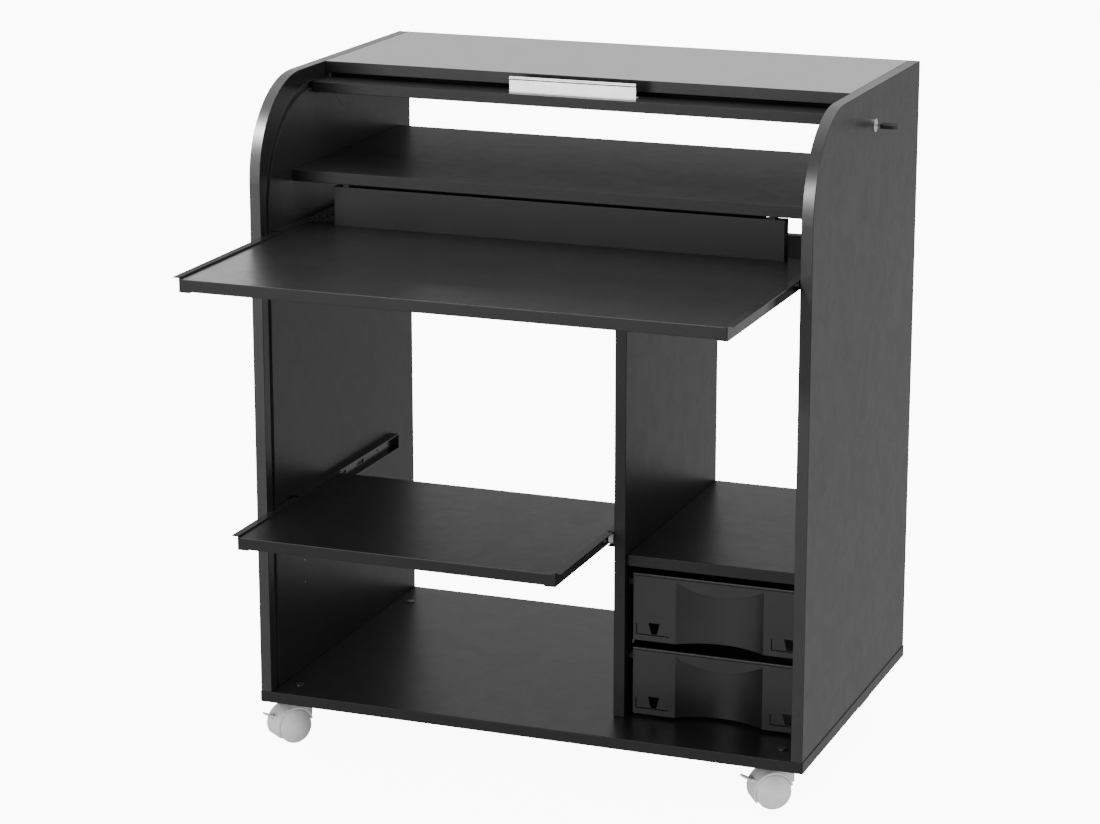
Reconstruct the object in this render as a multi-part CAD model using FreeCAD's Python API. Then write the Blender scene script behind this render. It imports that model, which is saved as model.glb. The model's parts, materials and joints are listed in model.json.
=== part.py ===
import FreeCAD, Part
import math
import os

V = FreeCAD.Vector

# Driving dimensions in millimetres. The carcass is measured over its boards.
BOARD = 16.0
BODY_W = 788.0
BODY_D = 510.0
BODY_H = 872.0
BOTTOM_LIP = 1.0
CORNER_R = 135.0
EDGE_R = 0.8

# The upper shelf hangs from the top face, and the keyboard tray and the divider from the shelf.
# The lower heights are taken from the underside of the bottom panel.
UPPER_SHELF_DROP = 133.0
UPPER_SHELF_SETBACK = 102.5
KEYBOARD_TRAY_DROP = 76.0
PRINTER_TRAY_TOP = 276.0
RIGHT_SHELF_TOP = 247.0
RIGHT_SHELF_SETBACK = 88.0
DIVIDER_DROP = 38.0
DIVIDER_SETBACK = 80.0
SHELF_BACK_GAP = 37.0
PRINTER_BAY_W = 478.5
STRETCHER_H = 68.0
STRETCHER_DROP = 6.0
DUST_STRIP_T = 6.0
DUST_STRIP_H = 12.0
DUST_STRIP_SETBACK = 14.0
DUST_STRIP_END_GAP = 2.0

# Pull-out trays: depth, and how much of each its rails still hold behind their front ends.
KEYBOARD_D = 394.0
KEYBOARD_HELD = 96.0
PRINTER_D = 336.0
PRINTER_HELD = 139.0
UPSTAND_INSET = 44.0
UPSTAND_GAP = 6.0
UPSTAND_SEAT = 1.0
BUFFER_W = 8.0
BUFFER_INSET = 14.0
BUFFER_GAP = 0.5

# Roller runners: a channel on the cabinet and an angle on the tray, in one gap.
RUNNER_GAP = 12.0
RUNNER_T = 1.2
RUNNER_DROP = 8.0
RAIL_TIP_GAP = 0.8
RUNNER_FOOT = 14.0
ROLLER_R = 9.0
ROLLER_W = 6.6
ROLLER_PIN_R = 3.0
FRONT_ROLLER_INSET = 10.0
REAR_ROLLER_INSET = 6.0
KEYBOARD_RAIL_FRONT = 35.0
KEYBOARD_RAIL_L = 400.0
PRINTER_RAIL_INSET = 2.0
PRINTER_RAIL_L = 350.0
SLOT_L = 22.0
SLOT_H = 5.0
SLOT_PITCH = 62.0

# Shutter: slats on an arc, run in grooves of the side panels.
SHUTTER_R = 149.0
SHUTTER_FRONT = 22.0
SHUTTER_DROP = 26.0
SLAT_T = 8.0
SLAT_PITCH = 12.5
SLAT_GAP = 0.5
SLAT_COUNT = 4
BACKING_T = 0.6
GROOVE_DEPTH = 8.0
GROOVE_GAP = 1.0
GROOVE_PAST = 14.0
TRACK_WALL = 1.2
TRACK_FLOOR = 1.0
TONGUE = 5.5
END_BAR_D = 46.0
END_BAR_H = 14.6
END_BAR_RISE = 4.0
TOP_OVERLAP = 2.5
GUIDE_PIN_R = 3.5
GUIDE_PIN_INSET = 7.0
HANDLE_L = 181.0
HANDLE_H = 21.8
HANDLE_T = 2.4
HANDLE_FOOT = 12.0
HANDLE_SETBACK = 13.0
HANDLE_LIP_R = 2.6
HANDLE_SCREW_R = 2.0
HANDLE_SCREW_HEAD_R = 3.6
HANDLE_SCREW_HEAD_H = 2.4
HANDLE_SCREW_INSET = 30.0

# Moulded drawers under the right shelf. What is moulded into the front is drawn for one width.
DRAWER_D = 348.0
DRAWER_SETBACK = 92.0
DRAWER_WALL = 2.5
DRAWER_ROUND = 1.5
MOULD_W = 247.5
DRAWER_SIDE_GAP = 7.0
DRAWER_TOP_GAP = 9.5
DRAWER_FLOOR_GAP = 4.0
LOWER_DRAWER_H = 95.5
DRAWER_BETWEEN = 10.5
DRAWER_BACK_DROP = 10.0
DRAWER_FLANGE_W = 5.5
DRAWER_FLANGE_T = 2.5
SCOOP_W = 124.0
SCOOP_DEPTH = 20.0
SCOOP_LIP = 8.0
SCOOP_SAG = 14.0
POCKET_TOP_W = 16.0
POCKET_LOW_W = 8.0
POCKET_H = 16.0
POCKET_RISE = 10.0
LINE_W = 1.4
LINE_DEPTH = 0.8
LINE_INSET = 5.0
LINE_INSET_RIGHT = 50.75
LINE_RISE = 8.0
LINE_LONG = 47.0
LINE_TALL = 16.0
LINE_TO_POCKET = 18.0
GUIDE_W = 6.0
GUIDE_H = 6.0
GUIDE_SETBACK = 6.0

# Twin-wheel castors.
CASTOR_H = 62.5
CASTOR_INSET_X = 40.0
CASTOR_INSET_Y = 42.0
CASTOR_INSET_REAR = 72.0
WHEEL_R = 24.5
WHEEL_W = 15.5
WHEEL_DOME = 5.0
WHEEL_ROUND = 2.2
CASTOR_TRAIL = 16.0
WEB_T = 6.4
WEB_R = 15.0
HOOD_T = 2.9
HOOD_W = 36.0
HOOD_DROP = 3.0
HOOD_TILT = 23.0
NECK_RISE = 10.0
NECK_R = 17.0
SWIVEL_GAP = 0.6
STEM_R = 4.0
STEM_DEPTH = 16.0
STEM_HEAD_R = 6.0
STEM_HEAD_H = 1.2
AXLE_R = 3.0
AXLE_END_GAP = 0.5
BRAKE_W = 12.0
BRAKE_T = 2.4
BRAKE_OUT = 19.0
BRAKE_TILT = 28.0
BRAKE_PIVOT = 3.6
BRAKE_PIN_R = 1.2
BRAKE_HUB_R = 2.2
BRAKE_CHEEK = 2.0
HEADING = {"front_left": -38.0, "front_right": -56.0, "rear_left": -18.0, "rear_right": -90.0}

# Cam lock in the right side panel.
LOCK_ANGLE = 40.5
LOCK_CLEAR = 13.4
LOCK_CASE_R = 6.5
ROSETTE_R = 9.0
ROSETTE_T = 2.5
BARREL_R = 4.5
CAM_L = 18.0
CAM_W = 8.0
CAM_T = 2.5
CAM_HUB = 2.0
KEY_W = 5.0
KEY_T = 1.6
KEY_DEPTH = 14.0
KEY_OUT = 33.0
BOW_L = 24.0
BOW_W = 22.0
BOW_T = 5.0

# Cam fittings that draw the boards together.
FITTING_R = 7.5
FITTING_H = 12.0
FITTING_FROM_END = 24.0
FITTING_FROM_EDGE = 60.0

# Clearances.
RUN_FIT = 0.05
SEAT_FIT = 0.1
SKIN_GAP = 0.3
SIDE_PLAY = 0.3

# Levels and faces that follow from the dimensions above.
Z0 = CASTOR_H
Z_FLOOR = Z0 + BOARD
Z_TOP = Z0 + BODY_H
X_OUT = BODY_W / 2
X_IN = X_OUT - BOARD
Y_SHELF_BACK = BODY_D - SHELF_BACK_GAP
X_DIV = -X_IN + PRINTER_BAY_W
X_BAY = X_DIV + BOARD
AXIS_Y = SHUTTER_FRONT + SHUTTER_R
AXIS_Z = Z_TOP - SHUTTER_DROP - SHUTTER_R
Y_TOP_FRONT = AXIS_Y + END_BAR_D - TOP_OVERLAP
Z_UPPER_SHELF = Z_TOP - UPPER_SHELF_DROP
Z_KEYBOARD = Z_UPPER_SHELF - KEYBOARD_TRAY_DROP
Z_PRINTER = Z0 + PRINTER_TRAY_TOP
Z_RIGHT_SHELF = Z0 + RIGHT_SHELF_TOP
Y_KEYBOARD = KEYBOARD_RAIL_FRONT + KEYBOARD_HELD - KEYBOARD_D
Y_PRINTER_RAIL = DIVIDER_SETBACK + PRINTER_RAIL_INSET
Y_PRINTER = Y_PRINTER_RAIL + PRINTER_HELD - PRINTER_D
GROOVE_HALF = SLAT_T / 2 + GROOVE_GAP
SLAT_START = math.degrees(math.asin((END_BAR_D + SKIN_GAP) / (SHUTTER_R - SLAT_T / 2)))
SLAT_STEP = math.degrees(SLAT_PITCH / SHUTTER_R)
SLAT_END = SLAT_START + SLAT_COUNT * SLAT_STEP
GROOVE_END = SLAT_END + math.degrees(GROOVE_PAST / SHUTTER_R)
Z_BAR_TOP = AXIS_Z + SHUTTER_R + END_BAR_RISE
Z_BAR_LOW = Z_BAR_TOP - END_BAR_H
LOCK_ARM = SHUTTER_R + LOCK_CLEAR
LOCK_Y = AXIS_Y + LOCK_ARM * math.sin(math.radians(LOCK_ANGLE))
LOCK_Z = AXIS_Z + LOCK_ARM * math.cos(math.radians(LOCK_ANGLE))
X_KEY_END = X_OUT + KEY_OUT

NODES = {}


def block(x0, x1, y0, y1, z0, z1):
    """Box between two corners."""
    return Part.makeBox(x1 - x0, y1 - y0, z1 - z0, V(x0, y0, z0))


def rod(axis, radius, start, end, centre):
    """Cylinder along one axis from start to end; centre gives the other two coordinates."""
    first, second = centre
    place = {"x": V(start, first, second), "y": V(first, start, second), "z": V(first, second, start)}
    turn = {"x": V(1, 0, 0), "y": V(0, 1, 0), "z": V(0, 0, 1)}
    return Part.makeCylinder(radius, end - start, place[axis], turn[axis])


def board(x0, x1, y0, y1, z0, z1):
    """Coated board with eased edges."""
    shape = block(x0, x1, y0, y1, z0, z1)
    return shape.makeFillet(EDGE_R, shape.Edges)


def polar(radius, degrees):
    """Point beside the shutter's axis, with the angle counted back from straight up."""
    angle = math.radians(degrees)
    return AXIS_Y + radius * math.sin(angle), AXIS_Z + radius * math.cos(angle)


def in_plane(x, point):
    """Point of a side view, placed at x."""
    return V(x, point[0], point[1])


def arc_between(x, radius, start, end):
    """Arc about the shutter's axis in a side view."""
    middle = (start + end) / 2
    points = [in_plane(x, polar(radius, angle)) for angle in (start, middle, end)]
    return Part.Arc(*points).toShape()


def closed_face(edges):
    """Plane face inside a closed run of edges."""
    return Part.Face(Part.Wire(edges))


def line(first, last):
    """Straight edge between two points."""
    return Part.LineSegment(first, last).toShape()


def sector(x0, x1, inner, outer, start, end):
    """Curved strip about the shutter's axis."""
    corners = [in_plane(x0, polar(radius, angle)) for radius, angle in
               ((outer, end), (inner, end), (inner, start), (outer, start))]
    edges = [arc_between(x0, outer, start, end), line(corners[0], corners[1]),
             arc_between(x0, inner, start, end), line(corners[2], corners[3])]
    return Part.Face(Part.Wire(Part.__sortEdges__(edges))).extrude(V(x1 - x0, 0, 0))


def groove(x0, x1, half, end):
    """Run of the shutter's groove: up the front edge, round the bend and under the top."""
    inner = SHUTTER_R - half
    outer = SHUTTER_R + half
    upright = block(x0, x1, AXIS_Y - outer, AXIS_Y - inner, Z_FLOOR, AXIS_Z)
    return upright.fuse(sector(x0, x1, inner, outer, -90.0, end)).removeSplitter()


def add(name, *solids):
    """Keep one named node, a single solid or a group of separate ones."""
    NODES[name] = solids[0] if len(solids) == 1 else Part.makeCompound(list(solids))


def mirrored(shape):
    """Copy on the other side of the middle plane."""
    return shape.mirror(V(0, 0, 0), V(1, 0, 0))


def fitting_places(x0, x1, y0, y1):
    """Four places for cam fittings near the ends of a board."""
    return [(x, y) for x in (x0 + FITTING_FROM_END, x1 - FITTING_FROM_END)
            for y in (y0 + FITTING_FROM_EDGE, y1 - FITTING_FROM_EDGE)]


def side_panel():
    """Right side panel: quarter-round upper front corner and the shutter's groove inside."""
    corner = CORNER_R * (1 - math.sqrt(0.5))
    start = V(X_IN, 0, Z_TOP - CORNER_R)
    middle = V(X_IN, corner, Z_TOP - corner)
    end = V(X_IN, CORNER_R, Z_TOP)
    top_back = V(X_IN, BODY_D, Z_TOP)
    low_back = V(X_IN, BODY_D, Z_FLOOR)
    low_front = V(X_IN, 0, Z_FLOOR)
    face = closed_face([line(low_front, start), Part.Arc(start, middle, end).toShape(),
                        line(end, top_back), line(top_back, low_back), line(low_back, low_front)])
    panel = face.extrude(V(BOARD, 0, 0))
    panel = panel.makeFillet(EDGE_R, panel.Edges)
    half = GROOVE_HALF + TRACK_WALL + SEAT_FIT
    return panel.cut(groove(X_IN - 1, X_IN + GROOVE_DEPTH, half, GROOVE_END))


def shutter_track():
    """Plastic liner in the right panel's groove, open towards the shutter."""
    deep = X_IN + GROOVE_DEPTH - SEAT_FIT
    liner = groove(X_IN, deep, GROOVE_HALF + TRACK_WALL, GROOVE_END)
    return liner.cut(groove(X_IN - 1, deep - TRACK_FLOOR, GROOVE_HALF, GROOVE_END))


def make_carcass():
    """Boards of the cabinet, the groove liners and the cam fittings."""
    panel = side_panel()
    lock_hole = rod("x", LOCK_CASE_R + SEAT_FIT, X_IN - 1, X_OUT + 1, (LOCK_Y, LOCK_Z))
    add("side_panel_left", mirrored(panel))
    add("side_panel_right", panel.cut(lock_hole))
    track = shutter_track()
    add("shutter_track_left", mirrored(track))
    add("shutter_track_right", track)
    bottom_x = X_OUT + BOTTOM_LIP
    bottom = board(-bottom_x, bottom_x, 0, BODY_D, Z0, Z_FLOOR)
    for x, y in castor_places().values():
        bottom = bottom.cut(rod("z", STEM_R + SEAT_FIT, Z0 - 1, Z_FLOOR + 1, (x, y)))
    add("bottom_panel", bottom)
    boards = {
        "top_panel": (-X_IN, X_IN, Y_TOP_FRONT, BODY_D, Z_TOP - BOARD, Z_TOP),
        "upper_shelf": (-X_IN, X_IN, UPPER_SHELF_SETBACK, Y_SHELF_BACK, Z_UPPER_SHELF - BOARD, Z_UPPER_SHELF),
        "right_shelf": (X_BAY, X_IN, RIGHT_SHELF_SETBACK, Y_SHELF_BACK, Z_RIGHT_SHELF - BOARD, Z_RIGHT_SHELF),
    }
    fittings = []
    for name, (x0, x1, y0, y1, z0, z1) in boards.items():
        shape = board(x0, x1, y0, y1, z0, z1)
        for place in fitting_places(x0, x1, y0, y1):
            shape = shape.cut(rod("z", FITTING_R + SEAT_FIT, z0 - 1, z0 + FITTING_H, place))
            fittings.append(rod("z", FITTING_R, z0, z0 + FITTING_H, place))
        add(name, shape)
    add("cam_fittings", *fittings)
    x_strip, y_strip = X_IN - DUST_STRIP_END_GAP, Y_TOP_FRONT + DUST_STRIP_SETBACK
    add("dust_strip", block(-x_strip, x_strip, y_strip, y_strip + DUST_STRIP_T,
                            Z_TOP - BOARD - DUST_STRIP_H, Z_TOP - BOARD))
    z_divider = Z_KEYBOARD - DIVIDER_DROP
    add("centre_divider", board(X_DIV, X_BAY, DIVIDER_SETBACK, Y_SHELF_BACK, Z_FLOOR, z_divider))
    z_stretcher = z_divider - STRETCHER_DROP
    add("rear_stretcher", board(-X_IN, X_IN, Y_SHELF_BACK, Y_SHELF_BACK + BOARD,
                                z_stretcher - STRETCHER_H, z_stretcher))


def make_shutter():
    """End bar, slats with their backing cloth, pull handle and its screws."""
    y0, y1 = AXIS_Y, AXIS_Y + END_BAR_D
    x_bar = X_IN - SIDE_PLAY
    bar = board(-x_bar, x_bar, y0, y1, Z_BAR_LOW, Z_BAR_TOP)
    for inset in (GUIDE_PIN_INSET, END_BAR_D - GUIDE_PIN_INSET):
        height = AXIS_Z + math.sqrt(SHUTTER_R ** 2 - inset ** 2)
        for side in (-1, 1):
            ends = sorted((side * (x_bar - BOARD), side * (X_IN + TONGUE)))
            bar = bar.fuse(rod("x", GUIDE_PIN_R, ends[0], ends[1], (y0 + inset, height)))
    inner, outer = SHUTTER_R - SLAT_T / 2, SHUTTER_R + SLAT_T / 2
    trim = math.degrees(SLAT_GAP / 2 / SHUTTER_R)
    x_slat = X_IN + TONGUE
    slats = []
    for index in range(SLAT_COUNT):
        start = SLAT_START + index * SLAT_STEP
        slats.append(sector(-x_slat, x_slat, inner, outer, start + trim, start + SLAT_STEP - trim))
    add("shutter_slats", *slats)
    add("shutter_backing", sector(-x_bar + BOARD, x_bar - BOARD, inner - BACKING_T, inner,
                                  SLAT_START, SLAT_END))
    y_blade = y0 + HANDLE_SETBACK
    half = HANDLE_L / 2
    lip = (y_blade + HANDLE_LIP_R / 2, Z_BAR_TOP + HANDLE_H - HANDLE_LIP_R)
    handle = block(-half, half, y_blade, y_blade + HANDLE_T, Z_BAR_TOP, lip[1])
    handle = handle.fuse(block(-half, half, y_blade, y_blade + HANDLE_FOOT, Z_BAR_TOP, Z_BAR_TOP + HANDLE_T))
    handle = handle.fuse(rod("x", HANDLE_LIP_R, -half, half, lip))
    screws = []
    y_screw = y_blade + (HANDLE_T + HANDLE_FOOT) / 2
    for x in (-half + HANDLE_SCREW_INSET, half - HANDLE_SCREW_INSET):
        shank = rod("z", HANDLE_SCREW_R, Z_BAR_LOW, Z_BAR_TOP + HANDLE_T, (x, y_screw))
        head = rod("z", HANDLE_SCREW_HEAD_R, Z_BAR_LOW - HANDLE_SCREW_HEAD_H, Z_BAR_LOW, (x, y_screw))
        hole = rod("z", HANDLE_SCREW_R + SEAT_FIT, Z_BAR_LOW - 1, Z_BAR_TOP + HANDLE_H, (x, y_screw))
        bar = bar.cut(hole)
        handle = handle.cut(hole)
        screws.append(shank.fuse(head))
    add("shutter_end_bar", bar)
    add("shutter_handle", handle.removeSplitter())
    add("handle_screws", *screws)


def runner_box(face, side, u0, u1, y0, y1, z0, z1):
    """Box in a runner gap, with u counted from the cabinet's face towards the tray."""
    ends = sorted((face - side * u0, face - side * u1))
    return block(ends[0], ends[1], y0, y1, z0, z1)


def runner_rod(face, side, u0, u1, radius, y, z):
    """Cylinder across a runner gap."""
    ends = sorted((face - side * u0, face - side * u1))
    return rod("x", radius, ends[0], ends[1], (y, z))


def front_roller_place(y_front, z_tray):
    """Centre of the roller on the cabinet's rail."""
    return y_front + FRONT_ROLLER_INSET, z_tray - RUNNER_DROP


def rear_roller_place(y_back, z_tray):
    """Centre of the roller on the tray's runner."""
    return y_back - REAR_ROLLER_INSET, z_tray - RUNNER_DROP


def roller(face, side, place):
    """Nylon roller with its bore."""
    u0 = (RUNNER_GAP - ROLLER_W) / 2
    body = runner_rod(face, side, u0, u0 + ROLLER_W, ROLLER_R, *place)
    return body.cut(runner_rod(face, side, 0, RUNNER_GAP, ROLLER_PIN_R + RUN_FIT, *place))


def cabinet_rail(face, side, y0, y1, z_tray):
    """Channel on the cabinet with slots in its web, a rounded back end and the front roller's pin."""
    middle = z_tray - RUNNER_DROP
    floor = middle - ROLLER_R - SKIN_GAP
    ceiling = middle + ROLLER_R + 2 * SKIN_GAP + RUNNER_T
    low, high = floor - RUNNER_T, ceiling + RUNNER_T
    web = RUNNER_GAP - RUNNER_T
    rail = runner_box(face, side, 0, web - RAIL_TIP_GAP, y0, y1, low, high)
    rail = rail.cut(runner_box(face, side, RUNNER_T, RUNNER_GAP, y0 - 1, y1 - RUNNER_T, floor, ceiling))
    for index in range(int((y1 - y0 - SLOT_PITCH) / SLOT_PITCH)):
        y_slot = y0 + SLOT_PITCH / 2 + index * SLOT_PITCH
        rail = rail.cut(runner_box(face, side, -1, RUNNER_T + 1, y_slot, y_slot + SLOT_L,
                                   middle - SLOT_H / 2, middle + SLOT_H / 2))
    rounded = [edge for edge in rail.Edges if abs(edge.BoundBox.YMin - y1) < 0.01
               and edge.BoundBox.XLength > RUNNER_T * 2 and edge.BoundBox.YLength < 0.01
               and min(abs(edge.BoundBox.ZMin - low), abs(edge.BoundBox.ZMin - high)) < 0.01]
    rail = rail.makeFillet(RUNNER_T, rounded)
    place = front_roller_place(y0, z_tray)
    return rail.fuse(runner_rod(face, side, 0, web - SKIN_GAP, ROLLER_PIN_R, *place))


def tray_runner(face, side, y0, y1, z_tray):
    """Angle under a tray's edge with an outward top flange and the rear roller's pin."""
    web = RUNNER_GAP - RUNNER_T
    z_low = z_tray - BOARD - RUNNER_T
    under = z_tray - RUNNER_DROP + ROLLER_R + SKIN_GAP
    shape = runner_box(face, side, web, RUNNER_GAP, y0, y1, z_low, under + RUNNER_T)
    shape = shape.fuse(runner_box(face, side, web, RUNNER_GAP + RUNNER_FOOT, y0, y1, z_low, z_low + RUNNER_T))
    flange = runner_box(face, side, RUNNER_T + RAIL_TIP_GAP, RUNNER_GAP, y0, y1, under, under + RUNNER_T)
    shape = shape.fuse(flange)
    place = rear_roller_place(y1, z_tray)
    pin = runner_rod(face, side, RUNNER_T + SKIN_GAP, RUNNER_GAP, ROLLER_PIN_R, *place)
    return shape.fuse(pin).removeSplitter()


def make_tray(name, faces, z_tray, y_front, depth, rail_front, rail_length, seats=()):
    """Tray board with its runners, rails and rollers between two cabinet faces."""
    y_back = y_front + depth
    rail_end = rail_front + rail_length
    left, right = faces
    tray = board(left + RUNNER_GAP, right - RUNNER_GAP, y_front, y_back, z_tray - BOARD, z_tray)
    for seat in seats:
        tray = tray.cut(seat)
    add(name + "_tray", tray)
    fronts, rears = [], []
    for label, face, side in (("left", left, -1), ("right", right, 1)):
        add(f"{name}_rail_{label}", cabinet_rail(face, side, rail_front, rail_end, z_tray))
        add(f"{name}_runner_{label}", tray_runner(face, side, y_front, y_back, z_tray))
        fronts.append(roller(face, side, front_roller_place(rail_front, z_tray)))
        rears.append(roller(face, side, rear_roller_place(y_back, z_tray)))
    add(name + "_front_rollers", *fronts)
    add(name + "_rear_rollers", *rears)


def upstand_seat():
    """Shallow seat in the keyboard tray that the upstand is glued into."""
    y1 = Y_KEYBOARD + KEYBOARD_D
    half = X_IN - RUNNER_GAP - UPSTAND_INSET + SKIN_GAP
    return block(-half, half, y1 - BOARD - SKIN_GAP, y1 + 1, Z_KEYBOARD - UPSTAND_SEAT, Z_KEYBOARD + 1)


def make_upstand():
    """Upright board on the keyboard tray's rear edge, with buffers under the shelf."""
    y1 = Y_KEYBOARD + KEYBOARD_D
    half = X_IN - RUNNER_GAP - UPSTAND_INSET
    z1 = Z_UPPER_SHELF - BOARD - UPSTAND_GAP
    add("keyboard_upstand", board(-half, half, y1 - BOARD, y1, Z_KEYBOARD - UPSTAND_SEAT, z1))
    buffers = []
    for x in (-half + BUFFER_INSET, half - BUFFER_INSET - BUFFER_W):
        buffers.append(block(x, x + BUFFER_W, y1 - BOARD + EDGE_R, y1 - EDGE_R,
                             z1, z1 + UPSTAND_GAP - BUFFER_GAP))
    add("upstand_buffers", *buffers)


def scoop_outline(x_mid, half, y, z0, z1, grow):
    """Front view of the finger scoop: straight sides and a sagging upper edge."""
    half = half + grow
    high = z1 - SCOOP_LIP + grow
    low = z0 - 1
    left, right = V(x_mid - half, y, high), V(x_mid + half, y, high)
    sag = V(x_mid, y, high - SCOOP_SAG)
    return closed_face([Part.Arc(left, sag, right).toShape(),
                        line(right, V(x_mid + half, y, low)),
                        line(V(x_mid + half, y, low), V(x_mid - half, y, low)),
                        line(V(x_mid - half, y, low), left)])


def drawer(z0, z1):
    """Moulded drawer: open tray, scooped front, corner pockets and moulded lines."""
    x0, x1 = X_BAY + DRAWER_SIDE_GAP, X_IN - DRAWER_SIDE_GAP
    y0, y1 = DRAWER_SETBACK, DRAWER_SETBACK + DRAWER_D
    x_mid = (x0 + x1) / 2
    wall = DRAWER_WALL
    stretch = (x1 - x0) / MOULD_W
    half = SCOOP_W / 2 * stretch
    tray = block(x0, x1, y0 + wall, y1, z0, z1 - DRAWER_BACK_DROP)
    tray = tray.cut(block(x0 + wall, x1 - wall, y0, y1 - wall, z0 + wall, z1 + 1))
    front = block(x0, x1, y0, y0 + wall, z0, z1)
    rounded = [edge for edge in front.Edges
               if edge.BoundBox.YMax < y0 + wall / 2 and edge.BoundBox.ZMax > z0 + wall]
    front = front.makeFillet(min(DRAWER_ROUND, 0.8 * wall), rounded)
    radius = (half ** 2 + SCOOP_DEPTH ** 2) / (2 * SCOOP_DEPTH)
    y_axis = y0 + SCOOP_DEPTH - radius
    reach = SCOOP_DEPTH + 2 * wall
    outside = scoop_outline(x_mid, half, y0, z0 + 1, z1, wall).extrude(V(0, reach, 0))
    outside = outside.common(rod("z", radius + wall, z0, z1, (x_mid, y_axis)))
    inside = scoop_outline(x_mid, half, y0 - 1, z0, z1, 0).extrude(V(0, reach, 0))
    inside = inside.common(rod("z", radius, z0 - 1, z1, (x_mid, y_axis)))
    shell = tray.fuse(front).fuse(outside).cut(inside)
    for x_line in (x0 + LINE_INSET * stretch, x1 - LINE_INSET_RIGHT * stretch):
        z_line = z0 + LINE_RISE
        x_end = x_line + LINE_LONG * stretch
        x_pocket = x_line + (LINE_TO_POCKET + POCKET_TOP_W / 2) * stretch
        shell = shell.cut(block(x_line, x_end, y0 - 1, y0 + LINE_DEPTH, z_line, z_line + LINE_W))
        shell = shell.cut(block(x_line, x_line + LINE_W, y0 - 1, y0 + LINE_DEPTH, z_line, z_line + LINE_TALL))
        shell = shell.cut(pocket(x_pocket, stretch, y0 - 1, z0 + POCKET_RISE))
    for inner, outer in ((x0, x0 - DRAWER_FLANGE_W), (x1, x1 + DRAWER_FLANGE_W)):
        ends = sorted((inner, outer))
        shell = shell.fuse(block(ends[0], ends[1], y0 + GUIDE_SETBACK, y1,
                                 z1 - DRAWER_BACK_DROP - DRAWER_FLANGE_T, z1 - DRAWER_BACK_DROP))
    return shell.removeSplitter()


def pocket(x_mid, stretch, y, z_low):
    """Tapered opening in a drawer's front."""
    half_top = POCKET_TOP_W / 2 * stretch
    half_low = POCKET_LOW_W / 2 * stretch
    z_high = z_low + POCKET_H
    corners = [V(x_mid - half_top, y, z_high), V(x_mid + half_top, y, z_high),
               V(x_mid + half_low, y, z_low), V(x_mid - half_low, y, z_low)]
    return Part.Face(Part.makePolygon(corners + corners[:1])).extrude(V(0, DRAWER_WALL + 2, 0))


def make_drawers():
    """Two drawers one above the other and the guides that carry them."""
    low0 = Z_FLOOR + DRAWER_FLOOR_GAP
    low1 = low0 + LOWER_DRAWER_H
    up0 = low1 + DRAWER_BETWEEN
    up1 = Z_RIGHT_SHELF - BOARD - DRAWER_TOP_GAP
    add("lower_drawer", drawer(low0, low1))
    add("upper_drawer", drawer(up0, up1))
    y0, y1 = DRAWER_SETBACK + GUIDE_SETBACK, DRAWER_SETBACK + DRAWER_D
    guides = []
    for high in (low1, up1):
        z_guide = high - DRAWER_BACK_DROP - DRAWER_FLANGE_T - SKIN_GAP
        guides.append(block(X_BAY, X_BAY + GUIDE_W, y0, y1, z_guide - GUIDE_H, z_guide))
        guides.append(block(X_IN - GUIDE_W, X_IN, y0, y1, z_guide - GUIDE_H, z_guide))
    add("drawer_guides", *guides)


def castor_places():
    """Where each castor's stem stands."""
    x = X_OUT - CASTOR_INSET_X
    near, far = CASTOR_INSET_Y, BODY_D - CASTOR_INSET_REAR
    return {"front_left": (-x, near), "front_right": (x, near),
            "rear_left": (-x, far), "rear_right": (x, far)}


def castor_hood(braked):
    """Hood over twin wheels with its swivel neck, trailing towards -Y from the stem."""
    axle = (-CASTOR_TRAIL, WHEEL_R)
    half = HOOD_W / 2
    roof_r = WHEEL_R + SKIN_GAP * 2 + HOOD_T
    roof = rod("x", roof_r, -half, half, axle)
    below = block(-half - 1, half + 1, axle[0] - 2 * roof_r, axle[0] + 2 * roof_r,
                  -WHEEL_R, WHEEL_R - HOOD_DROP)
    below.rotate(V(0, axle[0], axle[1]), V(1, 0, 0), HOOD_TILT)
    roof = roof.cut(below)
    neck = rod("z", NECK_R, WHEEL_R + NECK_RISE, CASTOR_H - SWIVEL_GAP, (0, 0))
    web = rod("x", WEB_R, -WEB_T / 2, WEB_T / 2, axle)
    hood = roof.fuse(neck).fuse(web)
    for side in (-1, 1):
        ends = sorted((side * WEB_T / 2, side * (half + NECK_R)))
        hood = hood.cut(rod("x", WHEEL_R + SKIN_GAP * 2, ends[0], ends[1], axle))
    hood = hood.cut(rod("x", AXLE_R + SEAT_FIT / 2, -half, half, axle))
    hood = hood.cut(rod("z", STEM_R + RUN_FIT, CASTOR_H - STEM_DEPTH - SKIN_GAP, CASTOR_H, (0, 0)))
    if braked:
        y_pin, cheek0 = brake_pin_y(), BRAKE_W / 2 + SIDE_PLAY
        tall = BRAKE_T + 2 * BRAKE_CHEEK
        for side in (-1, 1):
            ends = sorted((side * cheek0, side * (cheek0 + BRAKE_CHEEK)))
            cheek = block(ends[0], ends[1], y_pin - BRAKE_PIVOT, axle[0] - WHEEL_R - SKIN_GAP * 2,
                          WHEEL_R - tall / 2, WHEEL_R + tall / 2)
            hood = hood.fuse(tilted(cheek))
        pin = rod("x", BRAKE_PIN_R, -cheek0 - BRAKE_CHEEK, cheek0 + BRAKE_CHEEK, (y_pin, WHEEL_R))
        hood = hood.cut(tilted(brake_room())).fuse(tilted(pin))
    return hood.removeSplitter()


def brake_pin_y():
    """Place of the brake lever's pin before the lever is tilted."""
    return -CASTOR_TRAIL - WHEEL_R - SKIN_GAP * 2 - BRAKE_PIVOT


def tilted(shape):
    """Turn a piece of the brake up about the wheels' axle."""
    shape.rotate(V(0, -CASTOR_TRAIL, WHEEL_R), V(1, 0, 0), -BRAKE_TILT)
    return shape


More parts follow.
